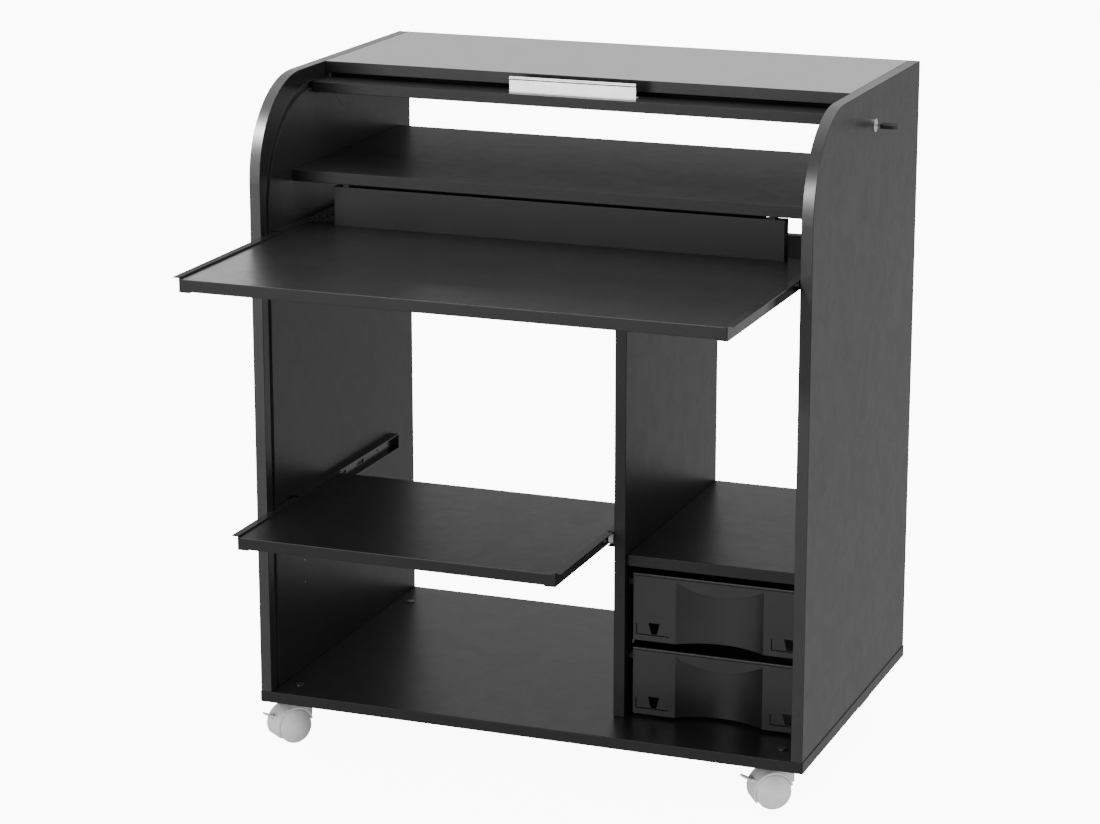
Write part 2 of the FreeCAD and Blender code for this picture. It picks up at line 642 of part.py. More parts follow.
def brake_room():
    """Opening in the hood that the lever moves in."""
    half = BRAKE_W / 2 + SIDE_PLAY
    inner = -CASTOR_TRAIL - WHEEL_R - SKIN_GAP
    room = BRAKE_T / 2 + BRAKE_CHEEK
    return block(-half, half, inner - HOOD_T - 2 * BRAKE_PIVOT, inner, WHEEL_R - room, WHEEL_R + room)


def brake_lever():
    """Foot lever of a castor's brake, a rounded tongue on a hub."""
    y_pin = brake_pin_y()
    half = BRAKE_W / 2
    y_tip = y_pin - BRAKE_OUT
    tongue = block(-half, half, y_tip + half, y_pin, WHEEL_R - BRAKE_T / 2, WHEEL_R + BRAKE_T / 2)
    tip = rod("z", half, WHEEL_R - BRAKE_T / 2, WHEEL_R + BRAKE_T / 2, (0, y_tip + half))
    hub = rod("x", BRAKE_HUB_R, -half, half, (y_pin, WHEEL_R))
    lever = tongue.fuse(tip).fuse(hub)
    bore = rod("x", BRAKE_PIN_R + RUN_FIT, -half - 1, half + 1, (y_pin, WHEEL_R))
    return tilted(lever.cut(bore).removeSplitter())


def castor_wheel():
    """Wheel on the +X side: rounded tread and a domed outer face over a blind bore."""
    axle = (-CASTOR_TRAIL, WHEEL_R)
    x0 = WEB_T / 2 + SIDE_PLAY
    x1 = x0 + WHEEL_W
    rim = WHEEL_R - WHEEL_ROUND
    tread = rod("x", WHEEL_R, x0, x1, axle)
    tread = tread.makeFillet(WHEEL_ROUND, [edge for edge in tread.Edges if len(edge.Vertexes) == 1])
    dome_r = (rim ** 2 + WHEEL_DOME ** 2) / (2 * WHEEL_DOME)
    dome = Part.makeSphere(dome_r, V(x1 + WHEEL_DOME - dome_r, axle[0], axle[1]))
    dome = dome.common(rod("x", WHEEL_R, x1, x1 + 2 * WHEEL_DOME, axle))
    wheel = tread.fuse(dome)
    return wheel.cut(rod("x", AXLE_R + RUN_FIT, x0 - 1, x1 - WHEEL_ROUND, axle)).removeSplitter()


def make_castors():
    """Four castors, each turned as it stands, and the stems that hold them."""
    stems = []
    for name, (x, y) in castor_places().items():
        braked = name.startswith("front")
        wheel = castor_wheel()
        reach = WEB_T / 2 + SIDE_PLAY + WHEEL_W - WHEEL_ROUND - AXLE_END_GAP
        pieces = {
            f"castor_hood_{name}": castor_hood(braked),
            f"castor_axle_{name}": rod("x", AXLE_R, -reach, reach, (-CASTOR_TRAIL, WHEEL_R)),
            f"castor_wheel_{name}_inner": mirrored(wheel),
            f"castor_wheel_{name}_outer": wheel,
        }
        if braked:
            pieces[f"castor_brake_{name}"] = brake_lever()
        for node, shape in pieces.items():
            shape.rotate(V(0, 0, 0), V(0, 0, 1), HEADING[name])
            shape.translate(V(x, y, 0))
            add(node, shape)
        stem = rod("z", STEM_R, Z0 - STEM_DEPTH, Z_FLOOR, (x, y))
        stems.append(stem.fuse(rod("z", STEM_HEAD_R, Z_FLOOR, Z_FLOOR + STEM_HEAD_H, (x, y))))
    add("castor_stems", *stems)


def make_lock():
    """Cam lock: case with rosette, barrel, cam and the key in it."""
    centre = (LOCK_Y, LOCK_Z)
    x_face = X_OUT + ROSETTE_T
    case = rod("x", LOCK_CASE_R, X_IN, X_OUT, centre).fuse(rod("x", ROSETTE_R, X_OUT, x_face, centre))
    add("lock_case", case.cut(rod("x", BARREL_R + RUN_FIT, X_IN - 1, x_face + 1, centre)))
    barrel = rod("x", BARREL_R, X_IN - CAM_T, x_face, centre)
    slot = block(x_face - KEY_DEPTH - SKIN_GAP, x_face + 1, LOCK_Y - KEY_W / 2 - SEAT_FIT,
                 LOCK_Y + KEY_W / 2 + SEAT_FIT, LOCK_Z - KEY_T / 2 - SEAT_FIT, LOCK_Z + KEY_T / 2 + SEAT_FIT)
    add("lock_barrel", barrel.cut(slot))
    arm = block(X_IN - CAM_T, X_IN - SKIN_GAP, LOCK_Y - CAM_W / 2, LOCK_Y + CAM_W / 2, LOCK_Z, LOCK_Z + CAM_L)
    arm = arm.fuse(rod("x", BARREL_R + CAM_HUB, X_IN - CAM_T, X_IN - SKIN_GAP, centre))
    bore = rod("x", BARREL_R + SEAT_FIT / 2, X_IN - 2 * CAM_T, X_IN, centre)
    add("lock_cam", arm.cut(bore).removeSplitter())
    x_bow = X_KEY_END - BOW_L
    add("key_blade", block(x_face - KEY_DEPTH, x_bow, LOCK_Y - KEY_W / 2, LOCK_Y + KEY_W / 2,
                           LOCK_Z - KEY_T / 2, LOCK_Z + KEY_T / 2))
    bow = block(x_bow, X_KEY_END, LOCK_Y - BOW_W / 2, LOCK_Y + BOW_W / 2,
                LOCK_Z - BOW_T / 2, LOCK_Z + BOW_T / 2)
    rounded = [edge for edge in bow.Edges if abs(edge.tangentAt(edge.FirstParameter).z) > 0.9]
    add("key_bow", bow.makeFillet(BOW_W / 3, rounded))


def place_all():
    """Move the model so that its origin lies under the middle of its box, on the floor."""
    boxes = [shape.optimalBoundingBox() for shape in NODES.values()]
    x_mid = (min(box.XMin for box in boxes) + max(box.XMax for box in boxes)) / 2
    y_mid = (min(box.YMin for box in boxes) + max(box.YMax for box in boxes)) / 2
    z_low = min(box.ZMin for box in boxes)
    shift = V(-x_mid, -y_mid, -z_low)
    for shape in NODES.values():
        shape.translate(shift)
    return shift


def export_all():
    """Write one file per node."""
    os.makedirs("parts", exist_ok=True)
    for name, shape in NODES.items():
        shape.exportStep(f"parts/{name}.step")
    print(len(NODES), "nodes")


make_carcass()
make_shutter()
make_tray("keyboard", (-X_IN, X_IN), Z_KEYBOARD, Y_KEYBOARD, KEYBOARD_D,
          KEYBOARD_RAIL_FRONT, KEYBOARD_RAIL_L, [upstand_seat()])
make_tray("printer", (-X_IN, X_DIV), Z_PRINTER, Y_PRINTER, PRINTER_D, Y_PRINTER_RAIL, PRINTER_RAIL_L)
make_upstand()
make_drawers()
make_castors()
make_lock()
SHIFT = place_all()
export_all()
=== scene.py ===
import json
import logging
import math
from collections.abc import Sequence
from dataclasses import dataclass, field
from enum import Enum

import bpy
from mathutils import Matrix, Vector


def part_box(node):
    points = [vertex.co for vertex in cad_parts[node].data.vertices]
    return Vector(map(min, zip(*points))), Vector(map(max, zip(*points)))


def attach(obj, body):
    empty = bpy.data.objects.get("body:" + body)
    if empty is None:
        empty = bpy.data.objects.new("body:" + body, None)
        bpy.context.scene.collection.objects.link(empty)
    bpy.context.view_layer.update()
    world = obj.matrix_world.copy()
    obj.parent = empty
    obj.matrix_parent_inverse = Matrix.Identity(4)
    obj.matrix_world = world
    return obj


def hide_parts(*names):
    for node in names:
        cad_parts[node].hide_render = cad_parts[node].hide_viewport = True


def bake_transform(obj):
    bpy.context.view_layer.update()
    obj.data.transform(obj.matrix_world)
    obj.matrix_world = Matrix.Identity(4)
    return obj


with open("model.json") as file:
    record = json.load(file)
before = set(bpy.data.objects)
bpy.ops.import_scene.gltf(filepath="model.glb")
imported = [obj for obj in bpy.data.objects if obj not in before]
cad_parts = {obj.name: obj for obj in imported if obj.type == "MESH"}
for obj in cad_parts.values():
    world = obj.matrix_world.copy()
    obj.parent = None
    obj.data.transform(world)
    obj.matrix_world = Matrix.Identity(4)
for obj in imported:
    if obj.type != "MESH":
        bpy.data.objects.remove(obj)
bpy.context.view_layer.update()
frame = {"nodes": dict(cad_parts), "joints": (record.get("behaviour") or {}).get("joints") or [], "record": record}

LOG = logging.getLogger("computer_desk")
MM = 0.001
Colour = tuple[float, float, float]
Span = tuple[float, float]
Socket, Tree, Thing = bpy.types.NodeSocket, bpy.types.NodeTree, bpy.types.Object
Sockets = dict[str, Socket]
NUMBER, WHOLE, VECTOR, COLOUR = "NodeSocketFloat", "NodeSocketInt", "NodeSocketVector", "NodeSocketColor"
MATERIAL, GEOMETRY = "NodeSocketMaterial", "NodeSocketGeometry"
MIX_FIRST, MIX_SECOND, MIX_RESULT = 6, 7, 2
FULL: Span = (0.0, 1.0)
WHITE = (1.0, 1.0, 1.0, 1.0)
DOWN = Vector((0.0, 0.0, -1.0))
SIDES = (("left", 1), ("right", -1))


class Grain(Enum):
    """How a surface's fine relief runs."""

    SPECKLED = "speckled"
    DRAWN = "drawn"
    WOVEN = "woven"


class Across(Enum):
    """Axis that a drawn surface's lines follow."""

    X = (1.0, 0.0, 0.0)
    Y = (0.0, 1.0, 0.0)


class NodeDesk:
    """Short calls for making and joining nodes in one tree."""

    def __init__(self, tree: Tree) -> None:
        """Keep the tree that the nodes go into."""
        self.tree = tree

    @classmethod
    def group(cls, name: str, kind: str, inputs: dict[str, str],
              outputs: dict[str, str]) -> tuple["NodeDesk", Sockets, Sockets]:
        """Start a node group.

        Args:
            name: The group's name.
            kind: Its tree type.
            inputs: Socket type of each named input.
            outputs: Socket type of each named output.

        Returns:
            The group's helper, its input sockets and its output sockets, by name.
        """
        tree = bpy.data.node_groups.new(name, kind)
        for way, sockets in (("INPUT", inputs), ("OUTPUT", outputs)):
            for label, socket in sockets.items():
                tree.interface.new_socket(label, in_out=way, socket_type=socket)
        desk = cls(tree)
        entry, leave = desk.node("NodeGroupInput").outputs, desk.node("NodeGroupOutput").inputs
        return desk, {s.name: s for s in entry if s.name}, {s.name: s for s in leave if s.name}

    def node(self, kind: str, **settings: object) -> bpy.types.Node:
        """Make a node and set its properties.

        Args:
            kind: The node's type name.
            settings: Properties of the node, such as operation.

        Returns:
            The new node.
        """
        made = self.tree.nodes.new(kind)
        for name, value in settings.items():
            setattr(made, name, value)
        return made

    def use(self, tree: Tree, values: dict[str, object]) -> Sockets:
        """Use a shader group.

        Args:
            tree: The group.
            values: Numbers, colours or sockets for its inputs, by name.

        Returns:
            Its outputs.
        """
        made = self.node("ShaderNodeGroup", node_tree=tree)
        for label, value in values.items():
            self.feed(value, made.inputs[label])
        return made.outputs

    def join(self, source: Socket, target: Socket) -> None:
        """Link an output to an input."""
        self.tree.links.new(source, target)

    def maths(self, operation: str, *values: object) -> Socket:
        """Make a Math node.

        Args:
            operation: Name of the operation.
            values: Numbers or sockets for its inputs, in order.

        Returns:
            The node's output.
        """
        made = self.node("ShaderNodeMath", operation=operation)
        for socket, value in zip(made.inputs, values):
            self.feed(value, socket)
        return made.outputs[0]

    def feed(self, value: object, target: Socket) -> None:
        """Link a socket to an input, or set the input to a plain value."""
        if isinstance(value, Socket):
            self.join(value, target)
        else:
            target.default_value = value

    def ramp(self, value: Socket, source: Span, target: tuple) -> Socket:
        """Map one range of a value to another and clamp it.

        Args:
            value: The value to map.
            source: Its lowest and highest value.
            target: What these become, as numbers or sockets.

        Returns:
            The mapped value.
        """
        made = self.node("ShaderNodeMapRange")
        self.join(value, made.inputs["Value"])
        for label, bound in zip(("From Min", "From Max", "To Min", "To Max"), (*source, *target)):
            self.feed(bound, made.inputs[label])
        return made.outputs["Result"]

    def noise(self, vector: Socket, scale: object, detail: float,
              distortion: float = 0.0) -> Socket:
        """Make a noise texture.

        Args:
            vector: Where the texture is read.
            scale: Features for each metre, as a number or a socket.
            detail: Layers of finer noise.
            distortion: How far the pattern is warped.

        Returns:
            The noise value.
        """
        made = self.node("ShaderNodeTexNoise")
        self.join(vector, made.inputs["Vector"])
        self.feed(scale, made.inputs["Scale"])
        made.inputs["Detail"].default_value = detail
        made.inputs["Distortion"].default_value = distortion
        return made.outputs[0]

    def mix(self, *values: Socket) -> Socket:
        """Mix two colours.

        Args:
            values: The second colour's share, the first colour and the second colour.

        Returns:
            The mixed colour.
        """
        made = self.node("ShaderNodeMix", data_type="RGBA")
        for index, value in zip((0, MIX_FIRST, MIX_SECOND), values):
            self.join(value, made.inputs[index])
        return made.outputs[MIX_RESULT]

    def vector(self, **parts: object) -> Socket:
        """Make a vector of its parts.

        Args:
            parts: Numbers or sockets for X, Y and Z, 0 if left out.

        Returns:
            The vector.
        """
        made = self.node("ShaderNodeCombineXYZ")
        for label, value in parts.items():
            self.feed(value, made.inputs[label])
        return made.outputs[0]

    def named(self, name: str, kind: str) -> Socket:
        """Read an attribute of the points.

        Args:
            name: The attribute's name.
            kind: Its data type.

        Returns:
            Its value.
        """
        made = self.node("GeometryNodeInputNamedAttribute", data_type=kind)
        made.inputs["Name"].default_value = name
        return made.outputs["Attribute"]


class SurfaceEffects:
    """Shader groups that several finishes share, each made once."""

    RELIEF = {"Height": NUMBER, "Speck": NUMBER}
    CELL_SCALE = 0.6
    CELL_HEIGHT = 0.45
    DUST_SCALE = 0.45
    DUST_SPAN = (0.66, 0.78)
    LINE_SQUEEZE = -0.985
    LINE_SPAN = (0.52, 0.8)
    THREAD_WARP = 0.6
    LINT_SPAN = (0.62, 0.8)
    MARK_WARP = 1.2
    FINE_MARK_SCALE = 9.0
    FINE_MARK_SHARE = 0.3
    MARK_SPAN = (0.36, 0.64)
    TONE_SPAN = (0.38, 0.62)

    def __init__(self) -> None:
        """Build all the groups."""
        self.reliefs = {Grain.SPECKLED: self._speckled_grain(), Grain.DRAWN: self._drawn_lines(),
                        Grain.WOVEN: self._woven_threads()}
        self.marks = self._hand_marks()
        self.tone = self._tone_drift()

    @staticmethod
    def _group(name: str, more: dict[str, str],
               outputs: dict[str, str]) -> tuple[NodeDesk, Sockets, Sockets]:
        """Start a shader group that has a place and a scale.

        Args:
            name: The group's name.
            more: Socket type of each further input.
            outputs: Socket type of each output.

        Returns:
            The group's helper, its input sockets and its output sockets, by name.
        """
        return NodeDesk.group(name, "ShaderNodeTree", {"Vector": VECTOR, "Scale": NUMBER, **more}, outputs)

    def _speckled_grain(self) -> Tree:
        """Pebbled relief of pressed or moulded surfaces, with sparse specks of dust."""
        desk, given, out = self._group("speckled_grain", {}, self.RELIEF)
        soft = desk.noise(given["Vector"], given["Scale"], detail=3.0)
        cells = desk.node("ShaderNodeTexVoronoi")
        desk.join(given["Vector"], cells.inputs["Vector"])
        desk.join(desk.maths("MULTIPLY", given["Scale"], self.CELL_SCALE), cells.inputs["Scale"])
        height = desk.maths("MULTIPLY_ADD", cells.outputs["Distance"], self.CELL_HEIGHT, soft)
        desk.join(height, out["Height"])
        dust_scale = desk.maths("MULTIPLY", given["Scale"], self.DUST_SCALE)
        dust = desk.noise(given["Vector"], dust_scale, detail=1.0)
        desk.join(desk.ramp(dust, self.DUST_SPAN, FULL), out["Speck"])
        return desk.tree

    def _drawn_lines(self) -> Tree:
        """Fine lines along one direction, as on brushed or rolled metal."""
        desk, given, out = self._group("drawn_lines", {"Along": VECTOR}, self.RELIEF)
        squeeze = desk.node("ShaderNodeVectorMath", operation="MULTIPLY_ADD")
        desk.join(given["Along"], squeeze.inputs[0])
        squeeze.inputs[1].default_value = (self.LINE_SQUEEZE,) * 3
        squeeze.inputs[2].default_value = (1.0, 1.0, 1.0)
        drawn = desk.node("ShaderNodeVectorMath", operation="MULTIPLY")
        desk.join(given["Vector"], drawn.inputs[0])
        desk.join(squeeze.outputs[0], drawn.inputs[1])
        lines = desk.noise(drawn.outputs[0], given["Scale"], detail=4.0)
        desk.join(lines, out["Height"])
        desk.join(desk.ramp(lines, self.LINE_SPAN, FULL), out["Speck"])
        return desk.tree

    def _woven_threads(self) -> Tree:
        """Crossing threads of a plain weave, with a little lint."""
        desk, given, out = self._group("woven_threads", {}, self.RELIEF)
        threads = []
        for direction in ("X", "Y"):
            wave = desk.node("ShaderNodeTexWave", bands_direction=direction)
            desk.join(given["Vector"], wave.inputs["Vector"])
            desk.join(given["Scale"], wave.inputs["Scale"])
            wave.inputs["Distortion"].default_value = self.THREAD_WARP
            threads.append(wave.outputs["Fac"])
        desk.join(desk.maths("MAXIMUM", *threads), out["Height"])
        lint = desk.noise(given["Vector"], given["Scale"], detail=2.0)
        desk.join(desk.ramp(lint, self.LINT_SPAN, FULL), out["Speck"])
        return desk.tree

    def _hand_marks(self) -> Tree:
        """Roughness that changes where hands and cloths have been."""
        desk, given, out = self._group("hand_marks", {"Low": NUMBER, "High": NUMBER}, {"Roughness": NUMBER})
        broad = desk.noise(given["Vector"], given["Scale"], detail=4.0, distortion=self.MARK_WARP)
        fine_scale = desk.maths("MULTIPLY", given["Scale"], self.FINE_MARK_SCALE)
        fine = desk.noise(given["Vector"], fine_scale, detail=2.0)
        rest = desk.maths("MULTIPLY", broad, 1.0 - self.FINE_MARK_SHARE)
        both = desk.maths("MULTIPLY_ADD", fine, self.FINE_MARK_SHARE, rest)
        desk.join(desk.ramp(both, self.MARK_SPAN, (given["Low"], given["High"])), out["Roughness"])
        return desk.tree

    def _tone_drift(self) -> Tree:
        """Colour that drifts between two tones, with specks of a third."""
        desk, given, out = self._group(
            "tone_drift",
            {"First": COLOUR, "Second": COLOUR, "Dust": COLOUR, "Speck": NUMBER, "Dust Share": NUMBER},
            {"Colour": COLOUR})
        drift = desk.ramp(desk.noise(given["Vector"], given["Scale"], detail=3.0), self.TONE_SPAN, FULL)
        tones = desk.mix(drift, given["First"], given["Second"])
        share = desk.maths("MULTIPLY", given["Speck"], given["Dust Share"])
        desk.join(desk.mix(share, tones, given["Dust"]), out["Colour"])
        return desk.tree


@dataclass(frozen=True)
class Finish:
    """A surface finish: its tones, gloss and fine relief."""

    name: str
    slot: str
    first: Colour
    second: Colour
    rough: Span
    grain: Grain = Grain.SPECKLED
    grain_scale: float = 900.0
    relief: float = 0.3
    depth: float = 0.02 * MM
    mark_scale: float = 9.0
    drift_scale: float = 14.0
    dust: Colour = (0.20, 0.20, 0.20)
    dust_share: float = 0.15
    along: Across = Across.X
    metallic: float = 0.0
    specular: float = 0.5
    coat: float = 0.0
    coat_rough: float = 0.1
    coat_upper_side: bool = False
    upper_from: float = 0.7

    def build(self, effects: SurfaceEffects) -> bpy.types.Material:
        """Make the material.

        Args:
            effects: The shared shader groups.

        Returns:
            The finished material.
        """
        material = bpy.data.materials.new(self.name)
        material.use_nodes = True
        desk = NodeDesk(material.node_tree)
        shader = material.node_tree.nodes["Principled BSDF"]
        place = desk.node("ShaderNodeTexCoord").outputs["Object"]
        values = {"Vector": place, "Scale": self.grain_scale}
        if self.grain is Grain.DRAWN:
            values["Along"] = self.along.value
        relief = desk.use(effects.reliefs[self.grain], values)
        marks = desk.use(effects.marks, {"Vector": place, "Scale": self.mark_scale,
                                         "Low": self.rough[0], "High": self.rough[1]})
        tone = desk.use(effects.tone, {
            "Vector": place, "Scale": self.drift_scale, "First": (*self.first, 1.0),
            "Second": (*self.second, 1.0), "Dust": (*self.dust, 1.0), "Speck": relief["Speck"],
            "Dust Share": self.dust_share})
        bump = desk.node("ShaderNodeBump")
        bump.inputs["Strength"].default_value = self.relief
        bump.inputs["Distance"].default_value = self.depth
        desk.join(relief["Height"], bump.inputs["Height"])
        desk.join(tone["Colour"], shader.inputs["Base Color"])
        desk.join(marks["Roughness"], shader.inputs["Roughness"])
        desk.join(bump.outputs["Normal"], shader.inputs["Normal"])
        shader.inputs["Metallic"].default_value = self.metallic
        shader.inputs["Specular IOR Level"].default_value = self.specular
        shader.inputs["Coat Weight"].default_value = self.coat
        shader.inputs["Coat Roughness"].default_value = self.coat_rough
        if self.coat_upper_side:
            look = desk.node("ShaderNodeSeparateXYZ")
            desk.join(desk.node("ShaderNodeNewGeometry").outputs["Normal"], look.inputs[0])
            upper = desk.maths("GREATER_THAN", look.outputs["Z"], self.upper_from)
            desk.join(desk.maths("MULTIPLY", upper, self.coat), shader.inputs["Coat Weight"])
        return material


FINISHES = (
    Finish("black_board", "board", (0.0125, 0.0122, 0.0127), (0.0145, 0.0141, 0.0147), (0.34, 0.38),
           grain_scale=950.0, mark_scale=26.0, dust_share=0.05, specular=0.30),
    Finish("polished_board", "board top", (0.0150, 0.0147, 0.0150), (0.0180, 0.0177, 0.0180), (0.30, 0.34),
           grain_scale=950.0, relief=0.25, mark_scale=26.0, dust_share=0.05, specular=0.30,
           coat=1.0, coat_rough=0.28, coat_upper_side=True),
    Finish("groove_liner", "liner", (0.030, 0.030, 0.031), (0.040, 0.040, 0.041), (0.38, 0.50),
           grain_scale=1600.0, relief=0.25, depth=0.015 * MM),
    Finish("slat_plastic", "slat", (0.016, 0.016, 0.017), (0.024, 0.024, 0.025), (0.36, 0.48),
           grain_scale=1500.0),
    Finish("backing_cloth", "cloth", (0.012, 0.012, 0.013), (0.022, 0.022, 0.022), (0.80, 0.95),
           grain=Grain.WOVEN, grain_scale=420.0, relief=0.8, depth=0.15 * MM, dust_share=0.25),
    Finish("satin_aluminium", "aluminium", (0.90, 0.91, 0.92), (0.96, 0.96, 0.97), (0.30, 0.40),
           grain=Grain.DRAWN, grain_scale=2600.0, relief=0.35, depth=0.01 * MM, metallic=1.0,
           dust=(0.62, 0.63, 0.65), dust_share=0.35),
    Finish("zinc_steel", "steel", (0.62, 0.63, 0.65), (0.76, 0.77, 0.78), (0.22, 0.38),
           grain_scale=700.0, metallic=1.0, dust=(0.42, 0.42, 0.42),
           mark_scale=60.0, drift_scale=90.0),
    Finish("dull_zinc", "stem", (0.16, 0.16, 0.165), (0.24, 0.24, 0.245), (0.36, 0.52),
           grain_scale=700.0, metallic=1.0, mark_scale=60.0, drift_scale=90.0),
    Finish("dust_felt", "felt", (0.008, 0.008, 0.008), (0.014, 0.014, 0.014), (0.86, 0.97),
           grain=Grain.WOVEN, grain_scale=500.0, relief=0.8, depth=0.2 * MM, specular=0.1),
    # painted_shade_black: near-black strips of painted shade laid along the lines on the drawer fronts, where the
    # grooves fall into shadow.
    Finish("painted_shade_black", "painted shade line", (0.0015, 0.0015, 0.0015), (0.0025, 0.0025, 0.0025), (0.80, 0.95),
           grain_scale=1500.0, depth=0.01 * MM, dust_share=0.0, specular=0.05),
    Finish("coated_runner", "runner_steel", (0.016, 0.016, 0.017), (0.026, 0.026, 0.027), (0.16, 0.26),
           grain_scale=1300.0, dust_share=0.12, specular=0.4),
    Finish("white_nylon", "nylon", (0.72, 0.71, 0.67), (0.80, 0.79, 0.76), (0.34, 0.48),
           grain_scale=1800.0, relief=0.25, depth=0.015 * MM, dust=(0.40, 0.38, 0.34), dust_share=0.3,
           mark_scale=70.0, drift_scale=60.0),
    Finish("rubber_buffer", "buffer", (0.045, 0.045, 0.046), (0.065, 0.065, 0.066), (0.70, 0.86),
           grain_scale=1500.0, relief=0.5, depth=0.03 * MM, drift_scale=80.0),
    Finish("drawer_plastic", "drawer_plastic", (0.0105, 0.0102, 0.0108), (0.0150, 0.0147, 0.0152),
           (0.30, 0.38), grain_scale=1500.0, depth=0.015 * MM, dust_share=0.05, specular=0.55),
    # painted_highlight_arris: a lighter grey that paints the highlight along the trays' rounded front top edge.
    Finish("painted_highlight_arris", "arris", (0.055, 0.055, 0.056), (0.075, 0.075, 0.076), (0.22, 0.34),
           grain_scale=1500.0, depth=0.01 * MM, dust_share=0.2),
    Finish("castor_grey", "castor_grey", (0.78, 0.785, 0.79), (0.84, 0.845, 0.85), (0.20, 0.34),
           grain_scale=1700.0, relief=0.20, depth=0.012 * MM, dust_share=0.3,
           mark_scale=45.0, drift_scale=40.0, coat=0.25, coat_rough=0.12),
    Finish("lock_chrome", "chrome", (0.70, 0.71, 0.73), (0.80, 0.81, 0.83), (0.08, 0.20),
           grain=Grain.DRAWN, grain_scale=3000.0, relief=0.15, depth=0.006 * MM, metallic=1.0,
           dust=(0.45, 0.45, 0.45), along=Across.Y, mark_scale=80.0),
    Finish("key_plastic", "key_plastic", (0.014, 0.014, 0.015), (0.022, 0.022, 0.023), (0.34, 0.46),
           grain_scale=2200.0, relief=0.4, drift_scale=90.0),
)


class Paintbox:
    """The materials by the record's slot names, and the calls that put them on pieces."""

    def __init__(self) -> None:
        """Build every finish and look up which slot each CAD node takes."""
        self.effects = SurfaceEffects()
        self.materials = {finish.slot: finish.build(self.effects) for finish in FINISHES}
        self.node_slots = {part["node"]: part["material_slot"] for part in frame["record"]["subparts"]}

    def dress(self, nodes: list[str], finish: str = "") -> None:
        """Give CAD nodes their finished material.

        Args:
            nodes: Names of the nodes.
            finish: A finish other than the one of each node's slot.
        """
        for name in nodes:
            thing = frame["nodes"][name]
            material = self.materials[finish or self.node_slots[name]]
            if not thing.material_slots:
                thing.data.materials.append(material)
            for slot in thing.material_slots:
                slot.material = material
            LOG.info("dressed %s in %s", name, material.name)

    def piece(self, name: str, finish: str, corners: list, faces: list) -> Thing:
        """A plain mesh with one finish.

        Args:
            name: Name of the piece.
            finish: Its finish.
            corners: Its corners.
            faces: The corners of each face, by number.

        Returns:
            The piece.
        """
        mesh = bpy.data.meshes.new(name)
        mesh.from_pydata(corners, [], faces)
        mesh.materials.append(self.materials[finish])
        made = bpy.data.objects.new(name, mesh)
        bpy.context.scene.collection.objects.link(made)
        return made

    def strip(self, name: str, body: str, finish: str, slot: str, low: Vector, high: Vector) -> None:
        """Set a square-cornered strip.

        Args:
            name: Name of the piece.
            body: The body it rides on.
            finish: Its finish.
            slot: The record's slot it belongs to; not used.
            low: Its lowest corner.
            high: Its highest corner.
        """
        corners = [(x, y, z) for x in (low.x, high.x) for y in (low.y, high.y) for z in (low.z, high.z)]
        faces = [(0, 1, 3, 2), (4, 6, 7, 5), (0, 4, 5, 1), (2, 3, 7, 6), (0, 2, 6, 4), (1, 5, 7, 3)]
        piece = self.piece(name, finish, corners, faces)
        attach(piece, body)


class GrowTree:
    """Starts Geometry Nodes trees and turns what they grow into plain meshes."""

    @staticmethod
    def start(name: str, inputs: dict[str, str]) -> tuple[NodeDesk, Sockets, Socket]:
        """Start a tree that takes points and gives a mesh.

        Args:
            name: The tree's name.
            inputs: Socket type of each named input besides the points and the material.

        Returns:
            The tree's helper, its inputs by name, and the output that the result goes to.
        """
        desk, given, out = NodeDesk.group(name, "GeometryNodeTree", {
            "Points": GEOMETRY, **inputs, "Material": MATERIAL}, {"Piece": GEOMETRY})
        return desk, given, out["Piece"]

    @staticmethod
    def end(desk: NodeDesk, given: Sockets, out: Socket, **placing: Socket) -> None:
        """Close a tree: set a copy on each point, make the copies real and paint them.

        Args:
            desk: The tree's helper.
            given: The tree's inputs by name.
            out: The tree's output.
            placing: The Instance, its Rotation or Scale, and Points other than the given ones.
        """
        placed = desk.node("GeometryNodeInstanceOnPoints")
        for label, socket in {"Points": given["Points"], **placing}.items():
            desk.join(socket, placed.inputs[label])
        real = desk.node("GeometryNodeRealizeInstances")
        painted = desk.node("GeometryNodeSetMaterial")
        desk.join(placed.outputs["Instances"], real.inputs["Geometry"])
        desk.join(real.outputs["Geometry"], painted.inputs["Geometry"])
        desk.join(given["Material"], painted.inputs["Material"])
        desk.join(painted.outputs["Geometry"], out)

    @staticmethod
    def points(name: str, places: Sequence, kind: str, **values: Sequence) -> bpy.types.Mesh:
        """Make the points that a tree runs over.

        Args:
            name: Name of the piece they are for.
            places: Where each point is.
            kind: Data type of the attributes.
            values: Each point's value of each named attribute.

        Returns:
            The points.
        """
        mesh = bpy.data.meshes.new(name + "_points")
        mesh.from_pydata(places, [], [])
        member = "vector" if kind == "FLOAT_VECTOR" else "value"
        for label, given in values.items():
            attribute = mesh.attributes.new(label, kind, "POINT")
            for entry, value in zip(attribute.data, given):
                setattr(entry, member, value)
        return mesh

    @staticmethod
    def grow(name: str, points: bpy.types.Mesh, tree: Tree,
             values: dict[str, object]) -> Thing:
        """Run a tree over points and keep the result as a plain mesh.

        Args:
            name: Name of the finished piece.
            points: Mesh whose vertices carry the copies.
            tree: The tree to run.
            values: Value of each named input.

        Returns:
            The piece, at the origin.
        """
        carrier = bpy.data.objects.new(name + "_points", points)
        bpy.context.scene.collection.objects.link(carrier)
        modifier = carrier.modifiers.new("grow", "NODES")
        modifier.node_group = tree
        for item in tree.interface.items_tree:
            if item.item_type == "SOCKET" and item.in_out == "INPUT" and item.name in values:
                modifier[item.identifier] = values[item.name]
        graph = bpy.context.evaluated_depsgraph_get()
        mesh = bpy.data.meshes.new_from_object(carrier.evaluated_get(graph), depsgraph=graph)
        bpy.data.objects.remove(carrier)
        piece = bpy.data.objects.new(name, mesh)
        bpy.context.scene.collection.objects.link(piece)
        return piece


